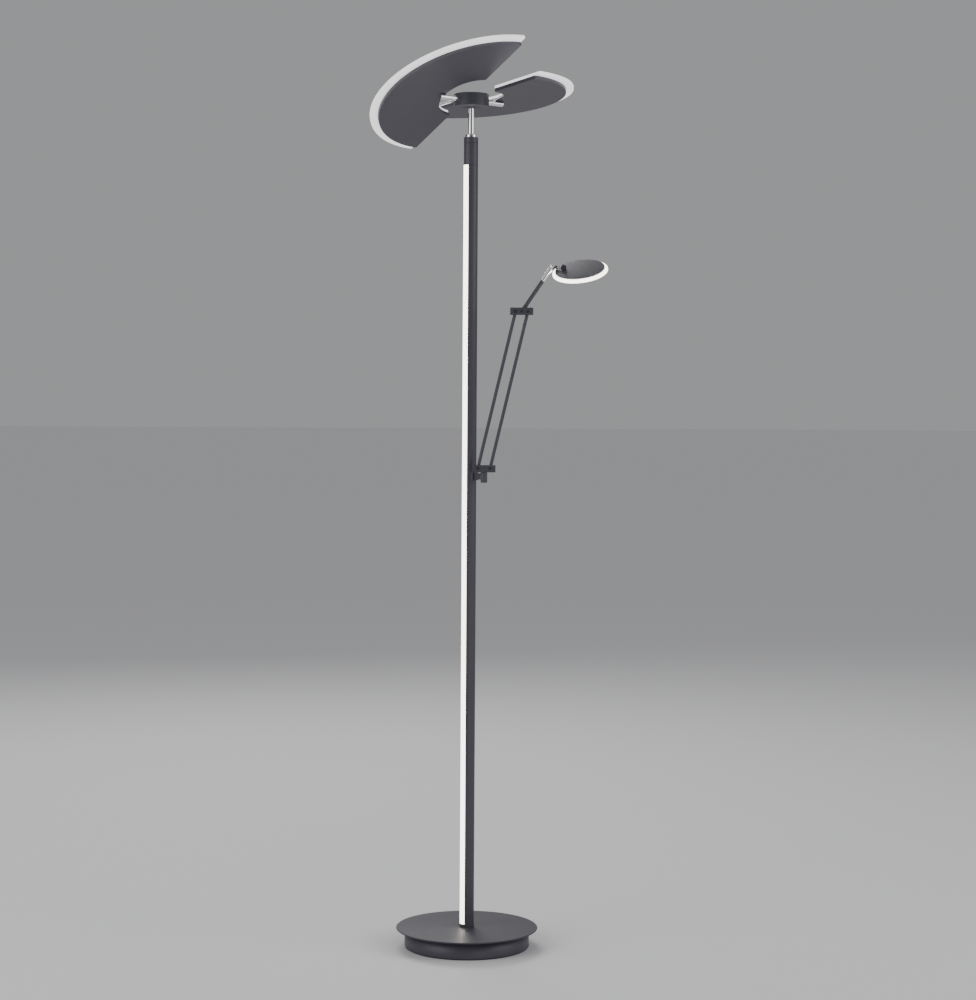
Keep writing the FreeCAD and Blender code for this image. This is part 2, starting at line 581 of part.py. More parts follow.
    pieces = {
        "panel_tray": tray,
        "light_panel": panel,
        "panel_led_board": board,
        "panel_screws": group(board_screws + rod_screws),
        "pivot_rod": pivot,
        "pivot_rod_clip": clip,
        "friction_washer": washer,
    }
    placed = {}
    for name, shape in pieces.items():
        shape.rotate(ORIGIN, UP, turn)
        shape.rotate(ORIGIN, ACROSS, tilt)
        shape.translate(Vector(0, 0, PIVOT_Z))
        placed[side_name + "_" + name] = shape
    return placed


def feed_lead(tilt, side):
    """Short lead from the hub's wall towards the panel's inner wall, on the hub's side of the gap."""
    angle = math.radians(-LEAD_AZIMUTH)
    out = Vector(math.cos(angle), math.sin(angle), 0) * side
    start = out * (HUB_RADIUS - HUB_WALL - EPS) + Vector(0, 0, -LEAD_DROP)
    leave = out * (HUB_RADIUS + LEAD_STRAIGHT) + Vector(0, 0, -LEAD_DROP)
    inlet = out * RING_BORE_RADIUS + Vector(0, 0, SEAT_RISE + TRAY_THICKNESS / 2)
    inlet = Rotation(ACROSS, tilt).multVec(inlet)
    arrive = inlet - (inlet - leave).normalize() * LEAD_END_GAP
    first = rod(LEAD_RADIUS, start, leave)
    second = rod(LEAD_RADIUS, leave, arrive)
    ball = Part.makeSphere(LEAD_RADIUS, leave)
    lead = first.fuse([ball, second]).removeSplitter()
    lead.translate(Vector(0, 0, PIVOT_Z))
    return lead


def arm_frame(shape):
    """Turns a piece from the arm's own plane to its place beside the column."""
    shape.rotate(ORIGIN, UP, ARM_YAW)
    shape.translate(Vector(0, -SWIVEL_OFFSET, 0))
    return shape


def lean(degrees):
    """Unit vector in the arm's plane that leans outwards from upright."""
    angle = math.radians(degrees)
    return Vector(math.sin(angle), 0, math.cos(angle))


def cross_pin(x, z, radius, length):
    """Pin across the arm's plane with a thin round head at each end."""
    half = length / 2
    end = half + PIN_HEAD_HEIGHT
    shank = rod(radius, Vector(x, -end, z), Vector(x, end, z))
    heads = [rod(radius + PIN_HEAD_LIP, Vector(x, s * half, z), Vector(x, s * end, z)) for s in (-1, 1)]
    return shank.fuse(heads).removeSplitter()


def bracket_parts():
    """Bracket on the column with the upright boss that the arm turns in, and its screws."""
    boss_bottom = SWIVEL_TOP - BOSS_HEIGHT
    saddle_bottom = SWIVEL_TOP - SADDLE_HEIGHT
    half = SADDLE_WIDTH / 2
    saddle = block((-half, half), (-COLUMN_RADIUS - SADDLE_DEPTH, -COLUMN_RADIUS / 2), (saddle_bottom, SWIVEL_TOP))
    neck = block((-BRACKET_NECK_HALF, BRACKET_NECK_HALF), (-SWIVEL_OFFSET, -COLUMN_RADIUS - EPS), (saddle_bottom + 2, SWIVEL_TOP - 2))
    boss = cylinder(BOSS_RADIUS, boss_bottom, SWIVEL_TOP, 0, -SWIVEL_OFFSET)
    bracket = saddle.fuse([neck, boss]).removeSplitter()
    bracket = bracket.cut(cylinder(COLUMN_RADIUS, saddle_bottom - EPS, SWIVEL_TOP + EPS))
    bore = cylinder(SWIVEL_PIN_RADIUS + RUN_FIT, boss_bottom - EPS, SWIVEL_TOP + EPS, 0, -SWIVEL_OFFSET)
    bracket = bracket.cut(bore)
    screws = []
    holes = []
    for height in (saddle_bottom + BRACKET_SCREW_INSET, SWIVEL_TOP - BRACKET_SCREW_INSET):
        seat = Vector(0, -CAVITY_RADIUS + 0.4, height)
        screw = pan_screw(ROD_SCREW_RADIUS, BRACKET_SCREW_LENGTH)
        screws.append(moved(screw, seat, ACROSS, Vector(0, 1, 0)))
        holes.append(rod(ROD_SCREW_RADIUS + SLIDE_FIT, seat, seat - Vector(0, BRACKET_SCREW_LENGTH + BODY_GAP, 0)))
        holes.append(rod(ROD_SCREW_RADIUS * PAN_HEAD + SLIDE_FIT, seat, seat + Vector(0, 3, 0)))
    return {"arm_bracket": bracket.cut(group(holes)), "arm_bracket_screws": group(screws)}, holes


def bar(pivot_z, upside_down):
    """Slotted bar that carries the two links; the slot opens towards the links."""
    floor_side = BAR_HEIGHT - BAR_LIP
    low = pivot_z - (BAR_LIP if upside_down else floor_side)
    half = BAR_LENGTH / 2
    body = block((-half, half), (-BAR_WIDTH / 2, BAR_WIDTH / 2), (low, low + BAR_HEIGHT))
    upright = [edge for edge in body.Edges if edge.BoundBox.ZLength > BAR_HEIGHT / 2]
    body = body.makeFillet(BAR_FILLET, upright)
    slot_low = low - EPS if upside_down else low + BAR_FLOOR
    slot_high = low + BAR_HEIGHT - BAR_FLOOR if upside_down else low + BAR_HEIGHT + EPS
    slot = block((-half - 1, half + 1), (-BAR_SLOT / 2, BAR_SLOT / 2), (slot_low, slot_high))
    body = body.cut(slot)
    for x in (-PIVOT_SPACING / 2, PIVOT_SPACING / 2):
        hole = rod(ARM_PIN_RADIUS + RUN_FIT, Vector(x, -BAR_WIDTH, pivot_z), Vector(x, BAR_WIDTH, pivot_z))
        body = body.cut(hole)
    return body


def link(foot, head, top_gap):
    """Round link with an eye at each end."""
    ends = [foot, head]
    half = Vector(0, EYE_THICKNESS / 2, 0)
    shape = rod(LINK_RADIUS, foot, head).fuse([rod(EYE_RADIUS, end - half, end + half) for end in ends])
    shape = shape.removeSplitter()
    for end, gap in ((foot, RUN_FIT), (head, top_gap)):
        shape = shape.cut(rod(ARM_PIN_RADIUS + gap, end - half * 2, end + half * 2))
    return shape


def arm_parts():
    """Swivel, lower bar, two links, upper bar, upper arm and the chrome neck."""
    low_z = SWIVEL_TOP + BODY_GAP + BAR_HEIGHT - BAR_LIP
    boss_bottom = SWIVEL_TOP - BOSS_HEIGHT
    lower_bar = bar(low_z, False)
    cap_top = boss_bottom - BODY_GAP
    cap_bottom = cap_top - SWIVEL_CAP_HEIGHT
    pin_top = SWIVEL_TOP + BODY_GAP + BAR_FLOOR
    swivel_pin = cylinder(SWIVEL_PIN_RADIUS, cap_top - 1.0, pin_top)
    swivel_cap = cylinder(BOSS_RADIUS, cap_bottom, cap_top)
    swivel_cap = swivel_cap.cut(cylinder(SWIVEL_PIN_RADIUS, cap_top - 1.0, cap_top + EPS))
    lower_bar = lower_bar.cut(cylinder(SWIVEL_PIN_RADIUS, SWIVEL_TOP, pin_top + EPS))

    rise = lean(LINK_LEAN) * LINK_LENGTH
    left_foot = Vector(-PIVOT_SPACING / 2, 0, low_z)
    right_foot = Vector(PIVOT_SPACING / 2, 0, low_z)
    link_a = link(left_foot, left_foot + rise, RUN_FIT)
    link_b = link(right_foot, right_foot + rise, OPEN_PIVOT_GAP)

    elbow = Vector(rise.x, 0, low_z + rise.z)
    upper_bar = bar(elbow.z, True)
    upper_bar.translate(Vector(elbow.x, 0, 0))
    arm_slot = block((elbow.x - 6, elbow.x + BAR_LENGTH / 2 - 4), (-BAR_SLOT / 2 - 0.8, BAR_SLOT / 2 + 0.8),
                     (elbow.z + 3.2, elbow.z + BAR_HEIGHT))
    elbow_hole = rod(ARM_PIN_RADIUS + RUN_FIT, elbow - Vector(0, BAR_WIDTH, 0), elbow + Vector(0, BAR_WIDTH, 0))
    upper_bar = upper_bar.cut(arm_slot).cut(elbow_hole)

    along = lean(UPPER_ARM_LEAN)
    tip = elbow + along * UPPER_ARM_LENGTH
    sleeve_start = UPPER_ARM_LENGTH - SLEEVE_LENGTH - FORK_RISE
    spigot = UPPER_ARM_RADIUS - SPIGOT_STEP
    half_eye = Vector(0, EYE_THICKNESS / 2, 0)
    upper_arm = rod(UPPER_ARM_RADIUS, elbow + along * UPPER_ARM_RADIUS, elbow + along * (sleeve_start - BODY_GAP))
    flats = rod(UPPER_ARM_RADIUS + UPPER_ARM_EYE_LIP, elbow - half_eye, elbow + half_eye)
    core = rod(spigot, elbow + along * UPPER_ARM_RADIUS, tip - along * SPIGOT_SHORT)
    upper_arm = upper_arm.fuse([flats, core]).removeSplitter()
    waist = EYE_THICKNESS / 2
    for sign in (-1, 1):
        low, high = sorted((sign * waist, sign * (waist + 5)))
        trim = block((-8, 8), (low, high), (-8, 12))
        trim.rotate(ORIGIN, Vector(0, 1, 0), UPPER_ARM_LEAN)
        trim.translate(elbow)
        upper_arm = upper_arm.cut(trim)
    upper_arm = upper_arm.cut(rod(ARM_PIN_RADIUS + RUN_FIT, elbow - half_eye * 2, elbow + half_eye * 2))

    pins_x = (-PIVOT_SPACING / 2, PIVOT_SPACING / 2)
    lower_pins = group(cross_pin(x, low_z, ARM_PIN_RADIUS, BAR_WIDTH) for x in pins_x)
    upper_x = pins_x + (0,)
    upper_pins = group(cross_pin(elbow.x + x, elbow.z, ARM_PIN_RADIUS, BAR_WIDTH) for x in upper_x)
    pieces = {
        "lower_bar": lower_bar,
        "swivel_pin": swivel_pin,
        "swivel_cap": swivel_cap,
        "lower_bar_pins": lower_pins,
        "link_rod_a": link_a,
        "link_rod_b": link_b,
        "upper_bar": upper_bar,
        "upper_bar_pins": upper_pins,
        "upper_arm": upper_arm,
    }
    head_pieces = neck_and_head(tip, along, spigot)
    pieces.update(head_pieces)
    return {name: arm_frame(shape) for name, shape in pieces.items()}


def neck_and_head(tip, along, spigot):
    """Chrome neck with its fork, the tilting knuckle and the round reading head."""
    yaw = math.radians(HEAD_YAW)
    reach = Vector(math.cos(yaw), math.sin(yaw), 0)
    tilt_axis = along.cross(reach).normalize()
    sleeve_start = tip - along * (SLEEVE_LENGTH + FORK_RISE)
    fork_top = tip + along * FORK_RISE
    sleeve = rod(SLEEVE_RADIUS, sleeve_start, fork_top)
    sleeve = sleeve.cut(rod(spigot + RUN_FIT, sleeve_start - along, tip - along * (SPIGOT_SHORT - 0.5)))
    slot_half = KNUCKLE_THICKNESS / 2 + SLIDE_FIT
    slot = block((-12, 12), (-slot_half, slot_half), (-KNUCKLE_RADIUS - FORK_FLOOR, 12))
    slot = moved(slot, tip, tilt_axis.cross(along), along)
    pin_half = SLEEVE_RADIUS + TILT_PIN_PROUD
    pin_hole = rod(TILT_PIN_RADIUS + RUN_FIT, tip - tilt_axis * 10, tip + tilt_axis * 10)
    sleeve = sleeve.cut(slot).cut(pin_hole)
    tilt_pin = rod(TILT_PIN_RADIUS, tip - tilt_axis * pin_half, tip + tilt_axis * pin_half)

    half_eye = tilt_axis * (KNUCKLE_THICKNESS / 2)
    barrel_start = tip + reach * (SLEEVE_RADIUS + 1.4)
    barrel_end = tip + reach * KNUCKLE_REACH
    knuckle = rod(KNUCKLE_RADIUS, tip - half_eye, tip + half_eye)
    knuckle = knuckle.fuse([
        rod(KNUCKLE_THICKNESS / 2 - 0.2, tip, barrel_start + reach * 0.5),
        rod(KNUCKLE_RADIUS - 0.4, barrel_start, barrel_end),
    ]).removeSplitter()
    spindle_bore = rod(SPINDLE_RADIUS + RUN_FIT, barrel_start + reach, barrel_end + reach)
    knuckle = knuckle.cut(pin_hole).cut(spindle_bore)

    bracket_end = BRACKET_START + BRACKET_LENGTH
    cover_top = HEAD_DIFFUSER_THICKNESS / 2 + HEAD_COVER_THICKNESS
    stand = HEAD_DROP - cover_top
    spindle = rod(SPINDLE_RADIUS, Vector(SLEEVE_RADIUS + SPINDLE_START, 0, 0), Vector(BRACKET_START + SPINDLE_DEPTH, 0, 0))
    wide = BRACKET_WIDTH / 2
    bracket = block((BRACKET_START, bracket_end), (-wide, wide), (-stand, SPINDLE_RADIUS + BRACKET_CROWN))
    bracket = bracket.cut(rod(SPINDLE_RADIUS, Vector(BRACKET_START - 1, 0, 0), Vector(BRACKET_START + SPINDLE_DEPTH, 0, 0)))
    knob = turned([(0, 0), (2.8, 0), (2.8, 1.4), (1.8, 2.2), (0, 2.2)])
    knob.translate(Vector(BRACKET_START + BRACKET_LENGTH / 2, 0, SPINDLE_RADIUS + BRACKET_CROWN))
    bracket = bracket.fuse(knob).removeSplitter()

    centre = Vector(HEAD_REACH, 0, -HEAD_DROP)
    half = HEAD_DIFFUSER_THICKNESS / 2
    board_radius = HEAD_COVER_RADIUS - HEAD_BOARD_MARGIN
    diffuser = cylinder(HEAD_RADIUS, -half, half)
    rims = [edge for edge in diffuser.Edges if edge.BoundBox.ZLength < 0.01]
    diffuser = diffuser.makeFillet(HEAD_DIFFUSER_THICKNESS * 0.4, rims)
    cover = turned([
        (0, half + HEAD_COVER_THICKNESS), (HEAD_COVER_RADIUS - 1, half + HEAD_COVER_THICKNESS),
        (HEAD_COVER_RADIUS, half + HEAD_COVER_THICKNESS - 1), (HEAD_COVER_RADIUS, half),
        (HEAD_COVER_RADIUS - 1.5, half), (HEAD_COVER_RADIUS - 1.5, half + HEAD_COVER_THICKNESS - HEAD_COVER_SKIN),
        (0, half + HEAD_COVER_THICKNESS - HEAD_COVER_SKIN),
    ])
    board = cylinder(board_radius, half, half + 1.0)
    for shape in (diffuser, cover, board):
        shape.translate(centre)

    head = {
        "head_spindle": spindle,
        "head_bracket": bracket,
        "head_cover": cover,
        "head_led_board": board,
        "head_diffuser": diffuser,
    }
    side = UP.cross(reach)
    for shape in head.values():
        shape.rotate(ORIGIN, ACROSS, HEAD_ROLL)
    placed = {name: moved(shape, tip, reach, reach.cross(side)) for name, shape in head.items()}
    placed.update({"neck_sleeve": sleeve, "head_tilt_pin": tilt_pin, "head_knuckle": knuckle})
    return placed


def main():
    """Builds every piece and writes one file for each node."""
    nodes = {}
    nodes.update(base_parts())
    nodes.update(column_parts())
    nodes.update(hub_parts())
    nodes.update(panel_parts("left", LEFT_TILT, 180))
    nodes.update(panel_parts("right", RIGHT_TILT, 0))
    nodes["left_feed_lead"] = feed_lead(LEFT_TILT, -1)
    nodes["right_feed_lead"] = feed_lead(RIGHT_TILT, 1)
    bracket, holes = bracket_parts()
    nodes["column_profile"] = nodes["column_profile"].cut(group(holes))
    nodes.update(bracket)
    nodes.update(arm_parts())
    os.makedirs("parts", exist_ok=True)
    for name, shape in nodes.items():
        shape.exportStep("parts/" + name + ".step")
        box = shape.BoundBox
        print("%-26s %d solids %10.1f mm3  z %.1f to %.1f" % (
            name, len(shape.Solids), shape.Volume, box.ZMin, box.ZMax), shape.isValid())
    print(len(nodes), "nodes")


main()
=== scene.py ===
"""Torchiere floor lamp: the visible model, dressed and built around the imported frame."""
import json
import logging
import math
from dataclasses import dataclass
from enum import Enum
from typing import Callable, Iterable, Sequence

import bmesh
import bpy
from bmesh.types import BMesh, BMVert
from bpy.types import ID, Material, Mesh, Node, NodeSocket, NodeTree, Object
from mathutils import Matrix, Vector

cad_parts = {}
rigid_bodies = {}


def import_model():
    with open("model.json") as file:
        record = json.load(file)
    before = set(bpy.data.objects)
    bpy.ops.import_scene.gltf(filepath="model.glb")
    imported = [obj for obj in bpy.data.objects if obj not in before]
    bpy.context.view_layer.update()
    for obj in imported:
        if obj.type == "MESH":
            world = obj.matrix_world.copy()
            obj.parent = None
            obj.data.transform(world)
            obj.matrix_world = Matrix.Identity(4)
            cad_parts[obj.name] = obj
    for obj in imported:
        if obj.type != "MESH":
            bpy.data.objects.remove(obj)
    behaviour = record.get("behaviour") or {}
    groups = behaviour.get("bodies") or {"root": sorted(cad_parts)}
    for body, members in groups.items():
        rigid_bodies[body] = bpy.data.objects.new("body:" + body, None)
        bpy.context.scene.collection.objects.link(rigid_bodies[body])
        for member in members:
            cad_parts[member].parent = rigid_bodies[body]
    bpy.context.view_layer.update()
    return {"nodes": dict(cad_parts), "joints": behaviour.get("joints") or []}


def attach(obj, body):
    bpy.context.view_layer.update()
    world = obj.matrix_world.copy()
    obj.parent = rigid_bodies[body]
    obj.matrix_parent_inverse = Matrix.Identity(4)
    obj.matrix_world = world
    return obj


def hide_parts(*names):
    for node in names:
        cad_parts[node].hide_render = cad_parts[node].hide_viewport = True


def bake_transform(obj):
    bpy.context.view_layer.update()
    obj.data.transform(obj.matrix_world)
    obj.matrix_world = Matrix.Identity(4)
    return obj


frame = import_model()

LOG = logging.getLogger("lamp")
MM = 0.001
ROUND = 96                      # segments round a large turned piece
SMALL_ROUND = 40                # segments round a rod or a pin
SHARP_EDGE = math.radians(38)   # edges that bend more than this are bevelled
JOINTS = {joint["name"]: joint for joint in frame["joints"]}

Point = tuple[float, float]
Corner = tuple[float, float, float]     # radius, height and rounding


class Slot(Enum):
    """Material slots of the record that the visible pieces take their finish from."""

    COAT = "black_powder_coat"
    ACRYLIC = "white_acrylic"
    OPAL = "opal_diffuser"
    CHROME = "chrome"
    FELT = "felt"
    IRON = "cast_iron"
    BOARD = "circuit_board"
    RUBBER = "rubber_grommet"
    LEAD = "clear_lead"
    CASE = "driver_case"
    BRASS = "brass"
    NYLON = "nylon"
    ZINC = "zinc_steel"
    BLACK_STEEL = "black_steel"


class Side(Enum):
    """The two half-ring panels: the sign of X on which each lies."""

    LEFT = -1
    RIGHT = 1


# ---------------------------------------------------------------- shader groups


def add_node(tree: NodeTree, kind: str, **values: object) -> Node:
    """Adds a node and sets its attributes and its unlinked inputs.

    Args:
        tree: The node tree to add to.
        kind: The node's type name.
        **values: Values by name: an attribute's if the node has one, otherwise an input's.

    Returns:
        The new node.
    """
    node = tree.nodes.new(kind)
    for name, value in values.items():
        if name in node.bl_rna.properties:
            setattr(node, name, value)
        else:
            node.inputs[name.replace("_", " ")].default_value = value
    return node


def wire(tree: NodeTree, *links: tuple[Node, str | int, Node, str | int]) -> None:
    """Links nodes: each entry names a node and its output, then a node and its input."""
    for source, output, sink, given in links:
        tree.links.new(source.outputs[output], sink.inputs[given])


def new_group(name: str, inputs: dict[str, float], outputs: Iterable[str]) -> NodeTree:
    """Makes an empty shader group whose sockets are all plain numbers.

    Args:
        name: The group's name.
        inputs: Input names and their default values.
        outputs: Output names.

    Returns:
        The group, with its input and output nodes in place.
    """
    group = bpy.data.node_groups.new(name, "ShaderNodeTree")
    group.interface.new_socket("Vector", in_out="INPUT", socket_type="NodeSocketVector")
    for label, value in inputs.items():
        socket = group.interface.new_socket(label, in_out="INPUT", socket_type="NodeSocketFloat")
        socket.default_value = value
    for label in outputs:
        group.interface.new_socket(label, in_out="OUTPUT", socket_type="NodeSocketFloat")
    group.nodes.new("NodeGroupInput")
    group.nodes.new("NodeGroupOutput")
    return group


def make_grain_group() -> NodeTree:
    """Builds the fine grain of a sprayed, cast or moulded surface.

    Returns:
        A group that puts out a grain height, a soft cloud mask and a roughness.
    """
    group = new_group("surface_grain", {"Grain Scale": 1800.0, "Cloud Scale": 14.0,
                                        "Roughness": 0.5, "Spread": 0.12}, ("Height", "Cloud", "Rough"))
    source = group.nodes["Group Input"]
    sink = group.nodes["Group Output"]
    grain = add_node(group, "ShaderNodeTexNoise", Detail=3.0, Roughness=0.6)
    cells = add_node(group, "ShaderNodeTexVoronoi")
    cloud = add_node(group, "ShaderNodeTexNoise", Detail=4.0, Roughness=0.55)
    blend = add_node(group, "ShaderNodeMath", operation="MULTIPLY_ADD")
    blend.inputs[1].default_value = 0.35
    centre = add_node(group, "ShaderNodeMath", operation="SUBTRACT")
    centre.inputs[1].default_value = 0.5
    rough = add_node(group, "ShaderNodeMath", operation="MULTIPLY_ADD")
    for node, scale in ((grain, "Grain Scale"), (cells, "Grain Scale"), (cloud, "Cloud Scale")):
        wire(group, (source, "Vector", node, "Vector"), (source, scale, node, "Scale"))
    wire(group, (cells, "Distance", blend, 0), (grain, "Fac", blend, 2), (blend, 0, sink, "Height"),
         (cloud, "Fac", sink, "Cloud"), (cloud, "Fac", centre, 0), (centre, 0, rough, 0),
         (source, "Spread", rough, 1), (source, "Roughness", rough, 2), (rough, 0, sink, "Rough"))
    return group


def make_dust_group() -> NodeTree:
    """Builds the thin dust that settles on upward faces.

    Returns:
        A group that puts out a dust mask from 0 to 1.
    """
    group = new_group("settled_dust", {"Amount": 0.15, "Patch Scale": 30.0}, ("Dust",))
    source = group.nodes["Group Input"]
    sink = group.nodes["Group Output"]
    coords = add_node(group, "ShaderNodeTexCoord")
    split = add_node(group, "ShaderNodeSeparateXYZ")
    upward = add_node(group, "ShaderNodeMapRange")
    upward.inputs["From Min"].default_value = 0.6
    patches = add_node(group, "ShaderNodeTexNoise", Detail=6.0, Roughness=0.7)
    shaped = add_node(group, "ShaderNodeMapRange")
    shaped.inputs["From Min"].default_value = 0.35
    shaped.inputs["From Max"].default_value = 0.75
    both = add_node(group, "ShaderNodeMath", operation="MULTIPLY")
    amount = add_node(group, "ShaderNodeMath", operation="MULTIPLY", use_clamp=True)
    wire(group, (coords, "Normal", split, 0), (split, "Z", upward, "Value"),
         (source, "Vector", patches, "Vector"), (source, "Patch Scale", patches, "Scale"),
         (patches, "Fac", shaped, "Value"), (upward, 0, both, 0), (shaped, 0, both, 1), (both, 0, amount, 0),
         (source, "Amount", amount, 1), (amount, 0, sink, "Dust"))
    return group


GRAIN = make_grain_group()
DUST = make_dust_group()
DUST_TONE = (0.42, 0.41, 0.39)


@dataclass(frozen=True)
class Finish:
    """A finish of the lamp: one Principled shader with grain, tone variation and dust."""

    slot: Slot
    base: tuple[float, float, float]
    tone: tuple[float, float, float]
    roughness: float = 0.5
    spread: float = 0.12
    metallic: float = 0.0
    grain_scale: float = 1800.0
    grain_depth: float = 0.00004
    bump: float = 0.25
    cloud_scale: float = 14.0
    dust: float = 0.0
    coat: float = 0.0
    sheen: float = 0.0
    glow: float = 0.0
    glow_colour: tuple[float, float, float] = (1.0, 1.0, 1.0)
    glow_spread: float = 0.0

    def material(self) -> Material:
        """Builds the finish's material.

        Returns:
            The material, named after its slot.
        """
        made = bpy.data.materials.get(self.slot.value)
        if made is not None and made.get("lamp_finish"):
            return made
        made = bpy.data.materials.new(self.slot.value)
        made["lamp_finish"] = True
        made.use_nodes = True
        tree = made.node_tree
        shader = tree.nodes["Principled BSDF"]
        link = tree.links.new
        coords = add_node(tree, "ShaderNodeTexCoord")
        grain = add_node(tree, "ShaderNodeGroup", node_tree=GRAIN, Grain_Scale=self.grain_scale,
                         Cloud_Scale=self.cloud_scale, Roughness=self.roughness, Spread=self.spread)
        link(coords.outputs["Object"], grain.inputs["Vector"])
        colour = self._mix(tree, grain.outputs["Cloud"], self.base, self.tone)
        if self.dust > 0:
            dust = add_node(tree, "ShaderNodeGroup", node_tree=DUST, Amount=self.dust)
            link(coords.outputs["Object"], dust.inputs["Vector"])
            dusty = self._mix(tree, dust.outputs["Dust"], self.base, DUST_TONE)
            link(colour, dusty.node.inputs["A"])
            colour = dusty
        bump = add_node(tree, "ShaderNodeBump", Strength=self.bump, Distance=self.grain_depth)
        link(grain.outputs["Height"], bump.inputs["Height"])
        for source, label in ((colour, "Base Color"), (grain.outputs["Rough"], "Roughness"),
                              (bump.outputs["Normal"], "Normal")):
            link(source, shader.inputs[label])
        for label, value in (("Metallic", self.metallic), ("Coat Weight", self.coat),
                             ("Coat Roughness", 0.12), ("Sheen Weight", self.sheen)):
            shader.inputs[label].default_value = value
        if self.glow > 0:
            cooler = tuple(part * (1.0 - self.glow_spread) for part in self.glow_colour)
            light = self._mix(tree, grain.outputs["Cloud"], cooler, self.glow_colour)
            link(light, shader.inputs["Emission Color"])
            shader.inputs["Emission Strength"].default_value = self.glow
        return made

    @staticmethod
    def _mix(tree: NodeTree, mask: NodeSocket,
             low: Sequence[float], high: Sequence[float]) -> NodeSocket:
        """Mixes two colours by a mask and returns the colour's socket."""
        mix = add_node(tree, "ShaderNodeMix", data_type="RGBA")
        mix.inputs["A"].default_value = (*low, 1.0)
        mix.inputs["B"].default_value = (*high, 1.0)
        tree.links.new(mask, mix.inputs["Factor"])
        return mix.outputs["Result"]


FINISHES = {finish.slot: finish for finish in (
    Finish(Slot.COAT, (0.050, 0.047, 0.064), (0.062, 0.059, 0.078), roughness=0.46, dust=0.06),
    Finish(Slot.ACRYLIC, (0.78, 0.78, 0.80), (0.84, 0.84, 0.86), roughness=0.30, spread=0.05,
           grain_scale=900.0, bump=0.05, glow=0.95, glow_colour=(1.0, 1.0, 1.02), glow_spread=0.04),
    Finish(Slot.OPAL, (0.90, 0.88, 0.82), (0.92, 0.90, 0.86), roughness=0.35, spread=0.05,
           grain_scale=900.0, bump=0.04, glow=5.0, glow_colour=(1.0, 0.93, 0.80), glow_spread=0.03),
    Finish(Slot.CHROME, (0.80, 0.80, 0.81), (0.86, 0.86, 0.87), roughness=0.08, spread=0.04,
           metallic=1.0, grain_scale=600.0, bump=0.02),
    Finish(Slot.FELT, (0.020, 0.020, 0.022), (0.034, 0.034, 0.036), roughness=0.95, spread=0.02,
           grain_scale=1200.0, grain_depth=0.0003, bump=0.8, sheen=0.4),
    Finish(Slot.IRON, (0.060, 0.058, 0.056), (0.11, 0.10, 0.095), roughness=0.7, metallic=0.6,
           grain_scale=500.0, grain_depth=0.0002, bump=0.6),
    Finish(Slot.BOARD, (0.80, 0.81, 0.79), (0.86, 0.87, 0.85), roughness=0.35, coat=0.3),
    Finish(Slot.RUBBER, (0.018, 0.018, 0.019), (0.028, 0.028, 0.029), roughness=0.75),
    Finish(Slot.LEAD, (0.62, 0.63, 0.65), (0.74, 0.75, 0.77), roughness=0.22, coat=0.6, metallic=0.35),
    Finish(Slot.CASE, (0.66, 0.66, 0.64), (0.74, 0.74, 0.72), roughness=0.45),
    Finish(Slot.BRASS, (0.60, 0.44, 0.20), (0.68, 0.52, 0.26), roughness=0.28, metallic=1.0),
    Finish(Slot.NYLON, (0.74, 0.73, 0.68), (0.80, 0.79, 0.74), roughness=0.5),
    Finish(Slot.ZINC, (0.52, 0.53, 0.54), (0.62, 0.63, 0.65), roughness=0.36, metallic=1.0),
    Finish(Slot.BLACK_STEEL, (0.030, 0.030, 0.033), (0.050, 0.050, 0.054), roughness=0.42, metallic=0.4),
)}


# ---------------------------------------------------------------- mesh tools


def add_object(name: str, data: ID) -> Object:
    """Makes an object of some data, puts it in the scene and returns it."""
    piece = bpy.data.objects.new(name, data)
    bpy.context.scene.collection.objects.link(piece)
    return piece


def finish_piece(name: str, mesh: Mesh, slot: Slot, body: str,
                 nodes: Sequence[str] = (), bevel: float = 0.0) -> None:
    """Makes a mesh a shown piece: smooth, bevelled, dressed and riding on its body.

    Args:
        name: The piece's name.
        mesh: Its mesh, in the lamp's frame.
        slot: The material slot it takes its finish from.
        body: The body it moves with.
        nodes: CAD nodes that it stands for.
        bevel: Width of the rounding on its sharp edges, or 0 for none.
    """
    piece = add_object(name, mesh)
    mesh.materials.clear()
    mesh.materials.append(FINISHES[slot].material())
    mesh.shade_smooth()
    if bevel > 0:
        rounding = piece.modifiers.new("edges", "BEVEL")
        rounding.width = bevel
        rounding.segments = 3
        rounding.limit_method = "ANGLE"
        rounding.angle_limit = SHARP_EDGE
        rounding.use_clamp_overlap = True
        rounding.harden_normals = True
    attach(piece, body)
    if nodes:
        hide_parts(*nodes)
    LOG.info("%s: %d faces on %s", name, len(mesh.polygons), body)


def mesh_from(build: Callable[[BMesh], None], name: str,
              place: Matrix | None = None) -> Mesh:
    """Runs a bmesh builder, merges its doubles and turns its faces outwards.

    Args:
        build: Fills an empty bmesh.
        name: The mesh's name.
        place: Where the shape goes in the lamp's frame.

    Returns:
        The mesh.
    """
    shape = bmesh.new()
    build(shape)
    bmesh.ops.remove_doubles(shape, verts=shape.verts, dist=1e-7)
    bmesh.ops.recalc_face_normals(shape, faces=shape.faces)
    if place is not None:
        shape.transform(place)
    mesh = bpy.data.meshes.new(name)
    shape.to_mesh(mesh)
    shape.free()
    return mesh


def polar(radius: float, angle: float) -> Point:
    """The point at a distance from the origin, at an angle in radians from +X."""
    return radius * math.cos(angle), radius * math.sin(angle)


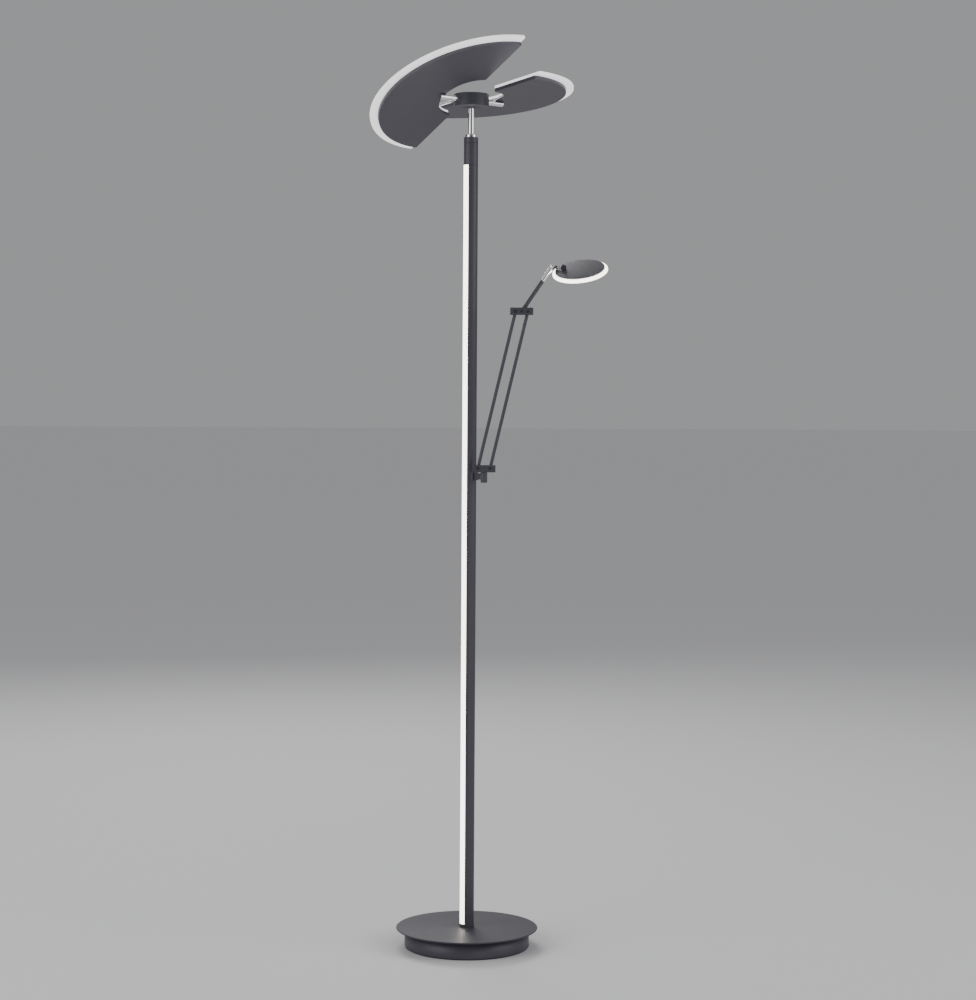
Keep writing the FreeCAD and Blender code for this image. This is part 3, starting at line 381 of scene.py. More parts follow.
def turn(shape: BMesh, outline: Sequence[Point], steps: int = ROUND,
         closed: bool = False, place: Matrix | None = None) -> None:
    """Turns an outline of (radius, height) points about Z, in millimetres.

    Args:
        shape: The bmesh to add to.
        outline: The points, from one end of the profile to the other.
        steps: Segments round the turn.
        closed: Whether the last point joins the first, as on a ring.
        place: Extra placement for the turned shape.
    """
    rings = []
    for radius, height in outline:
        if radius < 1e-6:
            rings.append([shape.verts.new((0, 0, height * MM))])
            continue
        flat = (polar(radius * MM, math.tau * step / steps) for step in range(steps))
        rings.append([shape.verts.new((*point, height * MM)) for point in flat])
    pairs = list(zip(rings, rings[1:]))
    if closed:
        pairs.append((rings[-1], rings[0]))
    for low, high in pairs:
        for step in range(steps):
            after = (step + 1) % steps
            places = ((low, step), (low, after), (high, after), (high, step))
            unique = list(dict.fromkeys(ring[at % len(ring)] for ring, at in places))
            if len(unique) > 2:
                shape.faces.new(unique)
    if place is not None:
        verts = [vert for ring in rings for vert in ring]
        bmesh.ops.transform(shape, matrix=place, verts=verts)


def rounded(corners: Sequence[Corner], steps: int = 4) -> list[Point]:
    """Rounds an outline's corners with arcs.

    Args:
        corners: (radius, height, rounding) for each corner; a rounding of 0 keeps it sharp.
        steps: Segments in each arc.

    Returns:
        The outline's points.
    """
    points: list[Point] = []
    last = len(corners) - 1
    for index, (x, y, rounding) in enumerate(corners):
        if rounding <= 0 or index in (0, last):
            points.append((x, y))
            continue
        here = Vector((x, y))
        back = (Vector(corners[index - 1][:2]) - here).normalized()
        ahead = (Vector(corners[index + 1][:2]) - here).normalized()
        half = back.angle(ahead) / 2
        reach = rounding / math.tan(half)
        centre = here + (back + ahead).normalized() * (rounding / math.sin(half))
        start = here + back * reach - centre
        end = here + ahead * reach - centre
        for step in range(steps + 1):
            arm = start.slerp(end, step / steps).normalized() * rounding
            points.append(tuple(centre + arm))
    return points


def turned_piece(name: str, slot: Slot, body: str, node: str, corners: Sequence[Corner], steps: int = ROUND,
                 arc: int = 4, place: Matrix | None = None) -> None:
    """Makes a shown piece turned about Z that stands for one node.

    Args:
        name: The piece's name.
        slot: The material slot it takes its finish from.
        body: The body it moves with.
        node: The CAD node that it stands for.
        corners: Its outline's corners, as for rounded(); one that starts off the axis is a ring.
        steps: Segments round the turn.
        arc: Segments in each rounding.
        place: Where the shape goes in the lamp's frame.
    """
    def build(shape: BMesh) -> None:
        turn(shape, rounded(corners, arc), steps, closed=corners[0][0] > 0)
    finish_piece(name, mesh_from(build, name, place), slot, body, [node])


def along(start: Vector, end: Vector, up: Vector | None = None) -> Matrix:
    """Placement whose +Z runs from one point to another.

    Args:
        start: The origin of the placement.
        end: A point on its +Z.
        up: A direction for +X to lean towards.

    Returns:
        The placement.
    """
    axis = (end - start).normalized()
    if up is None:
        turned = axis.to_track_quat("Z", "Y").to_matrix()
    else:
        side = (up - axis * up.dot(axis)).normalized()
        turned = Matrix((side, axis.cross(side), axis)).transposed()
    return Matrix.Translation(start) @ turned.to_4x4()


def box(shape: BMesh, low: Sequence[float], high: Sequence[float]) -> list[BMVert]:
    """Adds a box between two corners, in millimetres, and returns its vertices."""
    made = bmesh.ops.create_cube(shape, size=1.0)["verts"]
    for vert in made:
        vert.co = Vector([MM * (b if part > 0 else a) for part, a, b in zip(vert.co, low, high)])
    return made


def extrude_outline(shape: BMesh, outline: Sequence[Point], low: float, high: float) -> None:
    """Makes a closed bar from a flat outline between two heights, in millimetres."""
    floor = [shape.verts.new((x * MM, y * MM, low * MM)) for x, y in outline]
    roof = [shape.verts.new((x * MM, y * MM, high * MM)) for x, y in outline]
    count = len(outline)
    for index in range(count):
        after = (index + 1) % count
        shape.faces.new((floor[index], floor[after], roof[after], roof[index]))
    shape.faces.new(list(reversed(floor)))
    shape.faces.new(roof)


# ---------------------------------------------------------------- geometry nodes


def new_geometry_tree(name: str, inputs: dict[str, str]) -> tuple[NodeTree, Node, Node]:
    """Starts a Geometry Nodes tree with named inputs.

    Args:
        name: The tree's name.
        inputs: Socket type of each input by name, after the geometry itself.

    Returns:
        The tree, its input node and its output node.
    """
    tree = bpy.data.node_groups.new(name, "GeometryNodeTree")
    tree.interface.new_socket("Geometry", in_out="INPUT", socket_type="NodeSocketGeometry")
    for label, kind in inputs.items():
        tree.interface.new_socket(label, in_out="INPUT", socket_type=kind)
    tree.interface.new_socket("Geometry", in_out="OUTPUT", socket_type="NodeSocketGeometry")
    return tree, tree.nodes.new("NodeGroupInput"), tree.nodes.new("NodeGroupOutput")


def chain(tree: NodeTree, start: NodeSocket, *nodes: Node) -> None:
    """Links nodes one after another, geometry output to geometry input."""
    for node in nodes:
        tree.links.new(start, node.inputs[0])
        if node.outputs:
            start = node.outputs[0]


def make_tube_tree() -> NodeTree:
    """Makes the tree that lays a round tube along a path."""
    tree, given, result = new_geometry_tree("tube_along_path", {
        "Radius": "NodeSocketFloat", "Sides": "NodeSocketInt", "Material": "NodeSocketMaterial"})
    curve = add_node(tree, "GeometryNodeMeshToCurve")
    sweep = add_node(tree, "GeometryNodeCurveToMesh", Fill_Caps=True)
    section = add_node(tree, "GeometryNodeCurvePrimitiveCircle")
    real = add_node(tree, "GeometryNodeRealizeInstances")
    paint = add_node(tree, "GeometryNodeSetMaterial")
    chain(tree, given.outputs["Geometry"], curve, sweep, real, paint, result)
    wire(tree, (given, "Sides", section, "Resolution"), (given, "Radius", section, "Radius"),
         (section, "Curve", sweep, "Profile Curve"), (given, "Material", paint, "Material"))
    return tree


def make_repeat_tree() -> NodeTree:
    """Makes the tree that sets a part on every point, each turned by chance about its own axis."""
    tree, given, result = new_geometry_tree("repeat_on_points", {
        "Part": "NodeSocketObject", "Spin": "NodeSocketFloat",
        "Seed": "NodeSocketInt", "Material": "NodeSocketMaterial"})
    part = add_node(tree, "GeometryNodeObjectInfo", transform_space="ORIGINAL")
    chance = add_node(tree, "FunctionNodeRandomValue", data_type="FLOAT")
    chance.inputs[2].default_value = 0.0
    angles = add_node(tree, "ShaderNodeCombineXYZ")
    place = add_node(tree, "GeometryNodeInstanceOnPoints")
    real = add_node(tree, "GeometryNodeRealizeInstances")
    paint = add_node(tree, "GeometryNodeSetMaterial")
    chain(tree, given.outputs["Geometry"], place, real, paint, result)
    wire(tree, (given, "Part", part, "Object"), (part, "Geometry", place, "Instance"),
         (given, "Spin", chance, 3), (given, "Seed", chance, "Seed"), (chance, 1, angles, "Z"),
         (angles, "Vector", place, "Rotation"), (given, "Material", paint, "Material"))
    return tree


def bake(name: str, source: Mesh, tree: NodeTree, values: dict[str, object]) -> Mesh:
    """Runs a Geometry Nodes tree on a mesh and keeps the result as a plain mesh.

    Args:
        name: The result's name.
        source: The mesh that goes in.
        tree: The tree to run.
        values: The tree's inputs by name.

    Returns:
        The finished mesh.
    """
    holder = add_object(name + "_source", source)
    modifier = holder.modifiers.new("build", "NODES")
    modifier.node_group = tree
    for item in tree.interface.items_tree:
        if item.in_out == "INPUT" and item.name in values:
            modifier[item.identifier] = values[item.name]
    holder.update_tag()
    bpy.context.view_layer.update()
    seen = holder.evaluated_get(bpy.context.evaluated_depsgraph_get())
    mesh = bpy.data.meshes.new_from_object(seen)
    mesh.name = name
    bpy.data.objects.remove(holder)
    return mesh


TUBE = make_tube_tree()
REPEAT = make_repeat_tree()


def tube_mesh(name: str, path: Sequence[Vector], radius: float, slot: Slot,
              sides: int = SMALL_ROUND) -> Mesh:
    """Round rod or lead along a path.

    Args:
        name: The mesh's name.
        path: Corners of the path in the lamp's frame, in metres.
        radius: The rod's radius in millimetres.
        slot: The material slot it takes its finish from.
        sides: Segments round the rod.

    Returns:
        The mesh.
    """
    line = bpy.data.meshes.new(name + "_path")
    line.from_pydata([tuple(point) for point in path], [(k, k + 1) for k in range(len(path) - 1)], [])
    return bake(name, line, TUBE, {"Radius": radius * MM, "Sides": sides,
                                   "Material": FINISHES[slot].material()})


def repeated(name: str, points: Iterable[Point], height: float, part: Mesh, slot: Slot,
             place: Matrix, spin: float = 0.0, seed: int = 7) -> Mesh:
    """The same small part set on several points of one plane.

    Args:
        name: The mesh's name.
        points: Where the parts stand, in millimetres.
        height: The plane's height, in millimetres.
        part: The part's mesh, standing at the origin.
        slot: The material slot it takes its finish from.
        place: Where the plane goes in the lamp's frame.
        spin: The largest turn of a part by chance, in radians.
        seed: The seed of that chance.

    Returns:
        The mesh.
    """
    cloud = bpy.data.meshes.new(name + "_points")
    cloud.from_pydata([(x * MM, y * MM, height * MM) for x, y in points], [], [])
    single = add_object(name + "_part", part)
    mesh = bake(name, cloud, REPEAT, {"Part": single, "Spin": spin, "Seed": seed,
                                      "Material": FINISHES[slot].material()})
    bpy.data.objects.remove(single)
    mesh.transform(place)
    return mesh


# ---------------------------------------------------------------- half rings


@dataclass(frozen=True)
class HalfRing:
    """A flat half ring on the +X side with rounded corners, in millimetres."""

    outer: float
    inner: float
    gap: float
    corner: float
    steps: int = 72
    corner_steps: int = 6

    def rows(self) -> list[tuple[Point, Point]]:
        """Pairs of outer and inner points, from one straight end round to the other."""
        limits = []
        for radius, sign in ((self.outer, -1), (self.inner, 1)):
            reach = radius + sign * self.corner
            centre = (self.gap + self.corner, math.sqrt(reach ** 2 - (self.gap + self.corner) ** 2))
            limits.append((radius, sign, centre, math.atan2(centre[1], centre[0])))
        sides = [self._side(*limit) for limit in limits]
        return list(zip(*sides))

    def _side(self, radius: float, sign: int, centre: Point, limit: float) -> list[Point]:
        """One long edge with the rounded corner at each end."""
        start = limit if sign < 0 else limit - math.pi
        turn_to = math.pi if sign < 0 else -math.pi
        corner = []
        for step in range(self.corner_steps):
            angle = turn_to + (start - turn_to) * step / self.corner_steps
            x, y = polar(self.corner, angle)
            corner.append((centre[0] + x, centre[1] + y))
        arc = [polar(radius, limit - 2 * limit * step / self.steps) for step in range(self.steps + 1)]
        return corner + arc + [(x, -y) for x, y in reversed(corner)]

    def solid(self, shape: BMesh, low: float, high: float) -> None:
        """Adds the closed plate between two heights."""
        rows = self.rows()
        floor, roof = self._levels(shape, rows, low), self._levels(shape, rows, high)
        self._cover(shape, floor)
        self._cover(shape, roof)
        self._wall(shape, self._loop(floor), self._loop(roof))

    def tub(self, shape: BMesh, wall: float, low: float, floor: float, high: float) -> None:
        """Adds an open tray with walls of one thickness."""
        inside = HalfRing(self.outer - wall, self.inner + wall, self.gap + wall, max(self.corner - wall, 0.5))
        rows, inner_rows = self.rows(), inside.rows()
        base, rim = self._levels(shape, rows, low), self._levels(shape, rows, high)
        inner_rim, inner_floor = self._levels(shape, inner_rows, high), self._levels(shape, inner_rows, floor)
        self._cover(shape, base)
        self._cover(shape, inner_floor)
        self._wall(shape, self._loop(base), self._loop(rim))
        self._wall(shape, self._loop(rim), self._loop(inner_rim))
        self._wall(shape, self._loop(inner_rim), self._loop(inner_floor))

    @staticmethod
    def _levels(shape: BMesh, rows: Iterable[tuple[Point, Point]], height: float) -> list:
        """Vertices of the rows at one height."""
        return [tuple(shape.verts.new((x * MM, y * MM, height * MM)) for x, y in row) for row in rows]

    @staticmethod
    def _cover(shape: BMesh, level: list) -> None:
        """Faces across one level."""
        for (a, b), (c, d) in zip(level, level[1:]):
            shape.faces.new((a, c, d, b))

    @staticmethod
    def _loop(level: list) -> list:
        """The level's outline as a loop."""
        return [row[0] for row in level] + [row[1] for row in reversed(level)]

    @staticmethod
    def _wall(shape: BMesh, low: list, high: list) -> None:
        """Faces between two loops."""
        for index in range(len(low)):
            after = (index + 1) % len(low)
            shape.faces.new((low[index], low[after], high[after], high[index]))


# ---------------------------------------------------------------- sub-assemblies


def joint_point(name: str) -> Vector:
    """A joint's place in the lamp's frame, in metres."""
    return Vector(JOINTS[name]["pos_m"])


def joint_axis(name: str) -> Vector:
    """A joint's direction in the lamp's frame."""
    return Vector(JOINTS[name]["axis"]).normalized()


def flush_screw(name: str, radius: float, length: float) -> Mesh:
    """Countersunk screw with a dimpled drive, its flat face at the origin and its shank below.

    Args:
        name: The mesh's name.
        radius: The shank's radius in millimetres.
        length: The screw's length in millimetres.

    Returns:
        The mesh.
    """
    head, drive, tip = radius * 1.9, radius * 0.9, radius * 0.7
    depth, taper = 0.8, 0.5

    def build(shape: BMesh) -> None:
        turn(shape, rounded([(0, -depth, 0), (drive * 0.6, -depth, 0), (drive, 0, 0.1), (head, 0, 0.08),
                             (radius, radius - head, 0), (radius, taper - length, 0), (tip, -length, 0),
                             (0, -length, 0)]), steps=32)
    return mesh_from(build, name)


@dataclass
class Base:
    """Weighted round base: felt pad, sheet skirt, top disc and the cord's grommet."""

    height: float = 38.4
    pad: float = 2.0
    pad_inset: float = 1.0
    skirt_radius: float = 123.3
    sheet: float = 1.5
    lip_width: float = 8.0
    disc_radius: float = 140.0
    disc: float = 2.8
    inlet_height: float = 18.0
    inlet_bore: float = 3.6

    def build(self) -> None:
        """Adds the base's visible pieces."""
        under = self.height - self.disc
        lip = self.pad + self.sheet
        inner = self.skirt_radius - self.sheet
        edge = self.disc / 3

        pad_radius = self.skirt_radius - self.pad_inset
        lip_radius = inner - self.lip_width
        turned_piece("felt_pad", Slot.FELT, "root", "base_felt_pad", [
            (0, 0, 0), (pad_radius, 0, 0.5), (pad_radius, self.pad, 0), (0, self.pad, 0)], 160)
        turned_piece("skirt", Slot.COAT, "root", "base_skirt", [
            (lip_radius, self.pad, 0), (self.skirt_radius, self.pad, self.sheet * 0.8),
            (self.skirt_radius, under, 0), (inner, under, 0), (inner, lip, 0), (lip_radius, lip, 0)],
            160, arc=6)
        turned_piece("top_disc", Slot.COAT, "root", "base_top_disc", [
            (0, under, 0), (self.disc_radius - edge, under, 0.25), (self.disc_radius, under + edge, 0.25),
            (self.disc_radius, self.height - edge, 0.25), (self.disc_radius - edge, self.height, 0.25),
            (0, self.height, 0)], 192)
        self._grommet()

    def _grommet(self) -> None:
        """Adds the rubber grommet in the skirt's wall."""
        bore = self.inlet_bore
        place = along(Vector((0, self.skirt_radius, self.inlet_height)) * MM,
                      Vector((0, self.skirt_radius + 1, self.inlet_height)) * MM)
        waist, inside, outside = bore + 1.8, bore + 3.4, bore + 3.8
        tail, nose, collar = -5.5, 2.6, 0.6
        groove = -self.sheet - 1.2
        turned_piece("grommet", Slot.RUBBER, "root", "cord_inlet_grommet", [
            (bore, tail, 0), (inside, tail, 0.6), (inside, groove, 0.4), (waist, groove, 0.2),
            (waist, collar, 0.2), (outside, collar, 0.3), (outside - 1, nose, 0.8), (bore, nose, 0)],
            SMALL_ROUND, place=place)


@dataclass
class Column:
    """Round column with a lit strip on its side, touch ring, collar and chrome stem."""

    radius: float = 14.0
    base_top: float = 38.4
    foot: float = 6.6
    top: float = 1540.0
    cap: float = 43.0
    ring: float = 11.0
    seam: float = 0.4
    slot_half: float = 7.3
    slot_depth: float = 6.4
    lens_depth: float = 4.5
    lens_gap: float = 0.15
    board: float = 1.4
    chip: tuple[float, float, float] = (5.0, 2.8, 0.3)
    chip_pitch: float = 16.6
    chip_margin: float = 15.0
    collar_radius: float = 11.25
    collar: float = 6.0
    stem_radius: float = 5.8
    hub_bottom: float = 1654.0

    def build(self) -> None:
        """Adds the column's visible pieces."""
        start = self.base_top + self.foot
        cap_top = self.top + self.cap
        ring_top = cap_top + self.ring
        edge = math.pi - math.asin(self.slot_half / self.radius)
        self._slotted("profile", Slot.COAT, "column_profile", (edge, -edge, 84),
                      (self.slot_depth, self.slot_half), bevel=0.25 * MM)
        half = self.slot_half - self.lens_gap
        edge = math.asin(half / self.radius)
        self._slotted("column_lens", Slot.OPAL, "column_diffuser", (math.pi - edge, math.pi + edge, 20),
                      (self.lens_depth, half))
        self._chips(start)
        for name, node, low, high in (("foot", "column_foot", self.base_top, start),
                                      ("top_cap", "column_top_cap", self.top, cap_top)):
            turned_piece(name, Slot.COAT, "root", node, [
                (0, low, 0), (self.radius, low, 0.3), (self.radius, high, 0.3), (0, high, 0)], arc=5)
        turned_piece("touch_ring", Slot.COAT, "root", "touch_dimmer_ring", [
            (self.stem_radius, cap_top, 0), (self.radius - self.seam, cap_top, 0),
            (self.radius - self.seam, cap_top + self.seam, 0), (self.radius, cap_top + self.seam, 0.2),
            (self.radius, ring_top - self.seam, 0.1), (self.radius - self.seam, ring_top, 0.1),
            (self.stem_radius, ring_top, 0)], arc=5)
        collar_top = ring_top + self.collar
        turned_piece("collar", Slot.CHROME, "root", "stem_collar", [
            (self.stem_radius, ring_top, 0), (self.collar_radius, ring_top, 0.2),
            (self.collar_radius, collar_top, 1.6), (self.stem_radius, collar_top, 0)], arc=5)
        bottom, top = Vector((0, 0, ring_top)) * MM, Vector((0, 0, self.hub_bottom + 3)) * MM
        stem = tube_mesh("stem", [bottom, top], self.stem_radius, Slot.CHROME, sides=64)
        finish_piece("stem", stem, Slot.CHROME, "root", ["stem_tube"])

    def _slotted(self, name: str, slot: Slot, node: str, span: tuple[float, float, int],
                 back: tuple[float, float], bevel: float = 0.0) -> None:
        """Adds a bar as long as the profile: an arc of the column closed by a flat back.

        Args:
            name: The piece's name.
            slot: The material slot it takes its finish from.
            node: The CAD node that it stands for.
            span: First and last angle of the arc in radians, and its segments.
            back: Depth of the flat back from the column's face, and half its width.
            bevel: Width of the rounding on its edges.
        """
        first, last, steps = span
        depth, half = back
        outline = [polar(self.radius, first + (last - first) * step / steps) for step in range(steps + 1)]
        outline += [(depth - self.radius, -half), (depth - self.radius, half)]
        low = self.base_top + self.foot

        def build(shape: BMesh) -> None:
            extrude_outline(shape, outline, low, self.top)
        finish_piece(name, mesh_from(build, name), slot, "root", [node], bevel)

    def _chips(self, start: float) -> None:
        """Adds the row of LED chips behind the lens."""
        long, wide, tall = self.chip

        def chip(shape: BMesh) -> None:
            box(shape, (-long / 2, -wide / 2, 0), (long / 2, wide / 2, tall))
        front = self.slot_depth - self.board - self.radius
        place = along(Vector((front, 0, start)) * MM, Vector((front - 1, 0, start)) * MM, Vector((0, 0, 1)))
        count = int((self.top - start - 2 * self.chip_margin) / self.chip_pitch)
        row = [(self.chip_margin + k * self.chip_pitch, 0) for k in range(count)]
        mesh = repeated("column_chips", row, 0.0, mesh_from(chip, "chip"), Slot.NYLON, place)
        finish_piece("column_chips", mesh, Slot.NYLON, "root")


@dataclass
class Hub:
    """Round hub at the top of the stem, with a cover held by two screws."""

    radius: float = 34.7
    bottom: float = 1654.0
    height: float = 24.0
    cover: float = 2.0
    floor: float = 3.0
    wall: float = 2.5
    bore: float = 5.85
    chamfer: float = 0.6
    screw_offset: float = 27.0
    screw_radius: float = 1.5
    screw_length: float = 10.0

    def build(self) -> None:
        """Adds the hub's shell, its lid and the lid's screws."""
        rim = self.bottom + self.height - self.cover
        top = self.bottom + self.height
        inner = self.radius - self.wall

        web = self.bottom + self.floor
        turned_piece("hub_body", Slot.COAT, "root", "hub_shell", [
            (self.bore, self.bottom, 0), (self.radius, self.bottom, self.chamfer), (self.radius, rim, 0.15),
            (inner, rim, 0), (inner, web, 0), (self.bore, web, 0)], 128, arc=5)
        turned_piece("hub_lid", Slot.COAT, "root", "hub_cover", [
            (0, rim, 0), (self.radius, rim, 0.15), (self.radius, top - self.chamfer, 0.2),
            (self.radius - self.chamfer, top, 0.2), (0, top, 0)], 128)
        places = [(0, -self.screw_offset), (0, self.screw_offset)]
        screw = flush_screw("lid_screw", self.screw_radius, self.screw_length)
        screws = repeated("lid_screws", places, top, screw, Slot.ZINC, Matrix())
        finish_piece("lid_screws", screws, Slot.ZINC, "root", ["hub_cover_screws"])


@dataclass
class HalfPanel:
    """Half-ring light panel: tray, acrylic plate and board chips."""

    side: Side
    tilt: float
    outer: float = 200.9
    tray_outer: float = 186.0
    inner: float = 64.0
    gap: float = 8.2
    corner: float = 1.5
    seat: float = 4.6
    tray: float = 6.6
    wall: float = 1.5
    plate: float = 4.9
    board: float = 1.6
    chip: float = 3.0
    chip_height: float = 0.5
    chip_rows: tuple[float, ...] = (82.0, 107.0, 143.0, 168.0)
    chip_pitch: float = 15.0
    chip_margin: float = 14.0
    pivot_height: float = 1666.5

    @property
    def name(self) -> str:
        """The side's name in lower case."""
        return self.side.name.lower()

    @property
    def place(self) -> Matrix:
        """Where the panel goes from its own flat frame on the +X side."""
        half_turn = math.pi if self.side is Side.LEFT else 0.0
        return (Matrix.Translation((0, 0, self.pivot_height * MM))
                @ Matrix.Rotation(math.radians(self.tilt), 4, "X") @ Matrix.Rotation(half_turn, 4, "Z"))

    def build(self) -> None:
        """Adds the panel's visible pieces."""
        top = self.seat + self.tray
        tray = HalfRing(self.tray_outer, self.inner, self.gap, self.corner)
        plate = HalfRing(self.outer, self.inner, self.gap, self.corner)
        body = self.name + "_wing"

        def tub(shape: BMesh) -> None:
            tray.tub(shape, self.wall, self.seat, self.seat + self.wall, top)

        def sheet(shape: BMesh) -> None:
            plate.solid(shape, top, top + self.plate)
        for suffix, build, slot, node, edge in (("_tray", tub, Slot.COAT, "_panel_tray", 0.4),
                                                ("_acrylic", sheet, Slot.ACRYLIC, "_light_panel", 0.7)):
            name = self.name + suffix
            finish_piece(name, mesh_from(build, name, self.place), slot, body, [self.name + node], edge * MM)
        self._chips(body)

    def _chips(self, body: str) -> None:
        """Adds the arcs of LED chips on the board."""
        half_chip = self.chip / 2

        def chip(shape: BMesh) -> None:
            box(shape, (-half_chip, -half_chip, 0), (half_chip, half_chip, self.chip_height))
        points = []
        for radius in self.chip_rows:
            half = math.acos((self.gap + self.chip_margin) / radius)
            count = int(2 * half * radius / self.chip_pitch)
            points += [polar(radius, -half + 2 * half * (step + 0.5) / count) for step in range(count)]
        height = self.seat + self.wall + self.board
        name = self.name + "_chips"
        mesh = repeated(name, points, height, mesh_from(chip, "panel_chip"), Slot.NYLON, self.place)
        finish_piece(name, mesh, Slot.NYLON, body)


def joined(name: str, *meshes: Mesh) -> Mesh:
    """Joins meshes into one and returns it."""
    shape = bmesh.new()
    for mesh in meshes:
        shape.from_mesh(mesh)
    result = bpy.data.meshes.new(name)
    shape.to_mesh(result)
    shape.free()
    return result


@dataclass
class FeedLead:
    """Short flexible lead from the hub's wall to one panel's inner wall."""

    panel: HalfPanel
    azimuth: float = 38.5
    radius: float = 1.6
    hub_radius: float = 34.7
    drop: float = 2.0
    inset: float = 3.5
    straight: float = 7.0
    entry: float = 0.5
    bend: float = 0.35
    steps: int = 28

    def path(self) -> list[Vector]:
        """Points of the lead's centreline in the lamp's frame, in metres."""
        panel = self.panel
        angle = math.radians(-self.azimuth)
        out = Vector((*polar(1.0, angle), 0)) * panel.side.value
        level = Vector((0, 0, panel.pivot_height - self.drop)) * MM
        start = out * (self.hub_radius - self.inset) * MM + level
        leave = out * (self.hub_radius + self.straight) * MM + level
        inlet = Vector((*polar(panel.inner, angle), panel.seat + panel.tray / 2)) * MM
        end = panel.place @ (inlet * (1 + self.entry / panel.inner))
        bent = leave + (end - leave) * self.bend
        points = []
        for step in range(self.steps + 1):
            share = step / self.steps
            points.append((1 - share) ** 3 * start + 3 * (1 - share) ** 2 * share * leave
                          + 3 * (1 - share) * share ** 2 * bent + share ** 3 * end)
        return points

    def build(self) -> None:
        """Adds the lead, which bends between the hub and the panel."""
        path = self.path()
        name = self.panel.name + "_lead"
        mesh = tube_mesh(name, path, self.radius, Slot.LEAD, sides=20)
        mesh.shade_smooth()
        piece = add_object(name, mesh)
        self.panel.name + "_wing"
        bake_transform(piece)
        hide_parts(self.panel.name + "_feed_lead")


@dataclass
class ReadingArm:
    """Bracket, slotted bars, two links and the upper arm of the reading light."""

    column_radius: float = 14.0
    offset: float = 46.6
    yaw: float = -38.5
    swivel_top: float = 939.3
    boss_radius: float = 6.6
    boss_bore: float = 4.05
    boss: float = 17.3
    cap: float = 2.4
    saddle: tuple[float, float, float] = (15.0, 6.0, 16.0)
    neck: tuple[float, float] = (4.0, 2.0)
    bar: tuple[float, float, float] = (45.0, 13.0, 14.0)
    bar_slot: float = 7.4
    bar_floor: float = 3.0
    pivot_to_lip: float = 6.4
    spacing: float = 24.0
    link_length: float = 314.0
    link_lean: float = 13.2
    link_radius: float = 3.25
    eye_radius: float = 3.6
    eye: float = 7.0
    pin_radius: float = 2.0
    pin_head: tuple[float, float] = (0.9, 0.8)
    arm_radius: float = 4.0
    arm_length: float = 104.0
    arm_lean: float = 34.0
    sleeve: float = 28.0
    collar: float = 4.0
    fork: float = 11.0
    spigot_step: float = 0.8
    eye_lip: float = 0.4
    gap: float = 0.3

    @property
    def place(self) -> Matrix:
        """Where the arm's own upright plane goes."""
        return (Matrix.Translation((0, -self.offset * MM, 0))
                @ Matrix.Rotation(math.radians(self.yaw), 4, "Z"))

    @property
    def low(self) -> float:
        """Height of the lower pivots."""
        return self.swivel_top + self.gap + self.bar[2] - self.pivot_to_lip

    @staticmethod
    def lean(degrees: float) -> Vector:
        """Direction in the arm's plane, leaning outwards from upright."""
        return Vector((math.sin(math.radians(degrees)), 0, math.cos(math.radians(degrees))))

    def build(self) -> None:
        """Adds the arm's visible pieces."""
        rise = self.lean(self.link_lean) * self.link_length
        elbow = Vector((rise.x, 0, self.low + rise.z))
        half = self.spacing / 2
        self._bracket()
        self._bar("lower_bar_body", "arm_base", "lower_bar", Vector((0, 0, self.low)), False)
        self._bar("upper_bar_body", "elbow_block", "upper_bar", elbow, True)
        for name, x in (("link_a", -half), ("link_b", half)):
            foot = Vector((x, 0, self.low))
            self._link(name, foot, foot + rise)
        self._pins("lower_pins", "arm_base", "lower_bar_pins", Vector((0, 0, self.low)), (-half, half))
        self._pins("upper_pins", "elbow_block", "upper_bar_pins", elbow, (-half, 0.0, half))
        self._upper_arm(elbow)
        self._cap()

    def _bracket(self) -> None:
        """Adds the bracket: a saddle on the column, a neck and the upright boss."""
        wide, deep, tall = self.saddle
        low = self.swivel_top - tall
        edge = self.column_radius + deep
        half = wide / 2

        def saddle(shape: BMesh) -> None:
            across = [-half + wide * step / 16 for step in range(17)]
            arc = [(x, -math.sqrt(self.column_radius ** 2 - x ** 2)) for x in across]
            extrude_outline(shape, [(half, -edge), (-half, -edge)] + arc, low, self.swivel_top)

        def neck(shape: BMesh) -> None:
            half_neck, step = self.neck
            box(shape, (-half_neck, -self.offset, low + step), (half_neck, -edge + 1, self.swivel_top - step))

        def boss(shape: BMesh) -> None:
            bore, outer = self.boss_bore, self.boss_radius
            bottom, top = self.swivel_top - self.boss, self.swivel_top
            turn(shape, [(bore, bottom), (outer, bottom), (outer, top), (bore, top)], steps=SMALL_ROUND,
                 closed=True, place=Matrix.Translation((0, -self.offset * MM, 0)))
        mesh = joined("bracket", *(mesh_from(build, "bracket_piece") for build in (saddle, neck, boss)))
        finish_piece("bracket", mesh, Slot.COAT, "root", ["arm_bracket"], bevel=0.6 * MM)

    def _bar(self, name: str, body: str, node: str, pivot: Vector, inverted: bool) -> None:
        """Adds a slotted bar round a row of pivots; its slot opens downwards if inverted."""
        length, wide, tall = self.bar
        sign = -1 if inverted else 1
        lip = self.pivot_to_lip * sign
        base = lip - tall * sign
        floor = base + self.bar_floor * sign
        half, slot = wide / 2, self.bar_slot / 2
        section = [(-half, lip), (-half, base), (half, base), (half, lip), (slot, lip), (slot, floor),
                   (-slot, floor), (-slot, lip)]
        turned = Matrix(((0, 0, 1), (1, 0, 0), (0, 1, 0))).to_4x4()
        place = self.place @ Matrix.Translation((pivot.x * MM, 0, pivot.z * MM)) @ turned

        def build(shape: BMesh) -> None:
            extrude_outline(shape, section, -length / 2, length / 2)
        finish_piece(name, mesh_from(build, name, place), Slot.COAT, body, [node], bevel=0.7 * MM)

    def _eye(self, name: str, centre: Vector, radius: float) -> Mesh:
        """Ring across the arm's plane about a pin."""
        half = self.eye / 2
        bore = self.pin_radius + self.gap
        place = along(centre * MM, (centre + Vector((0, 1, 0))) * MM)

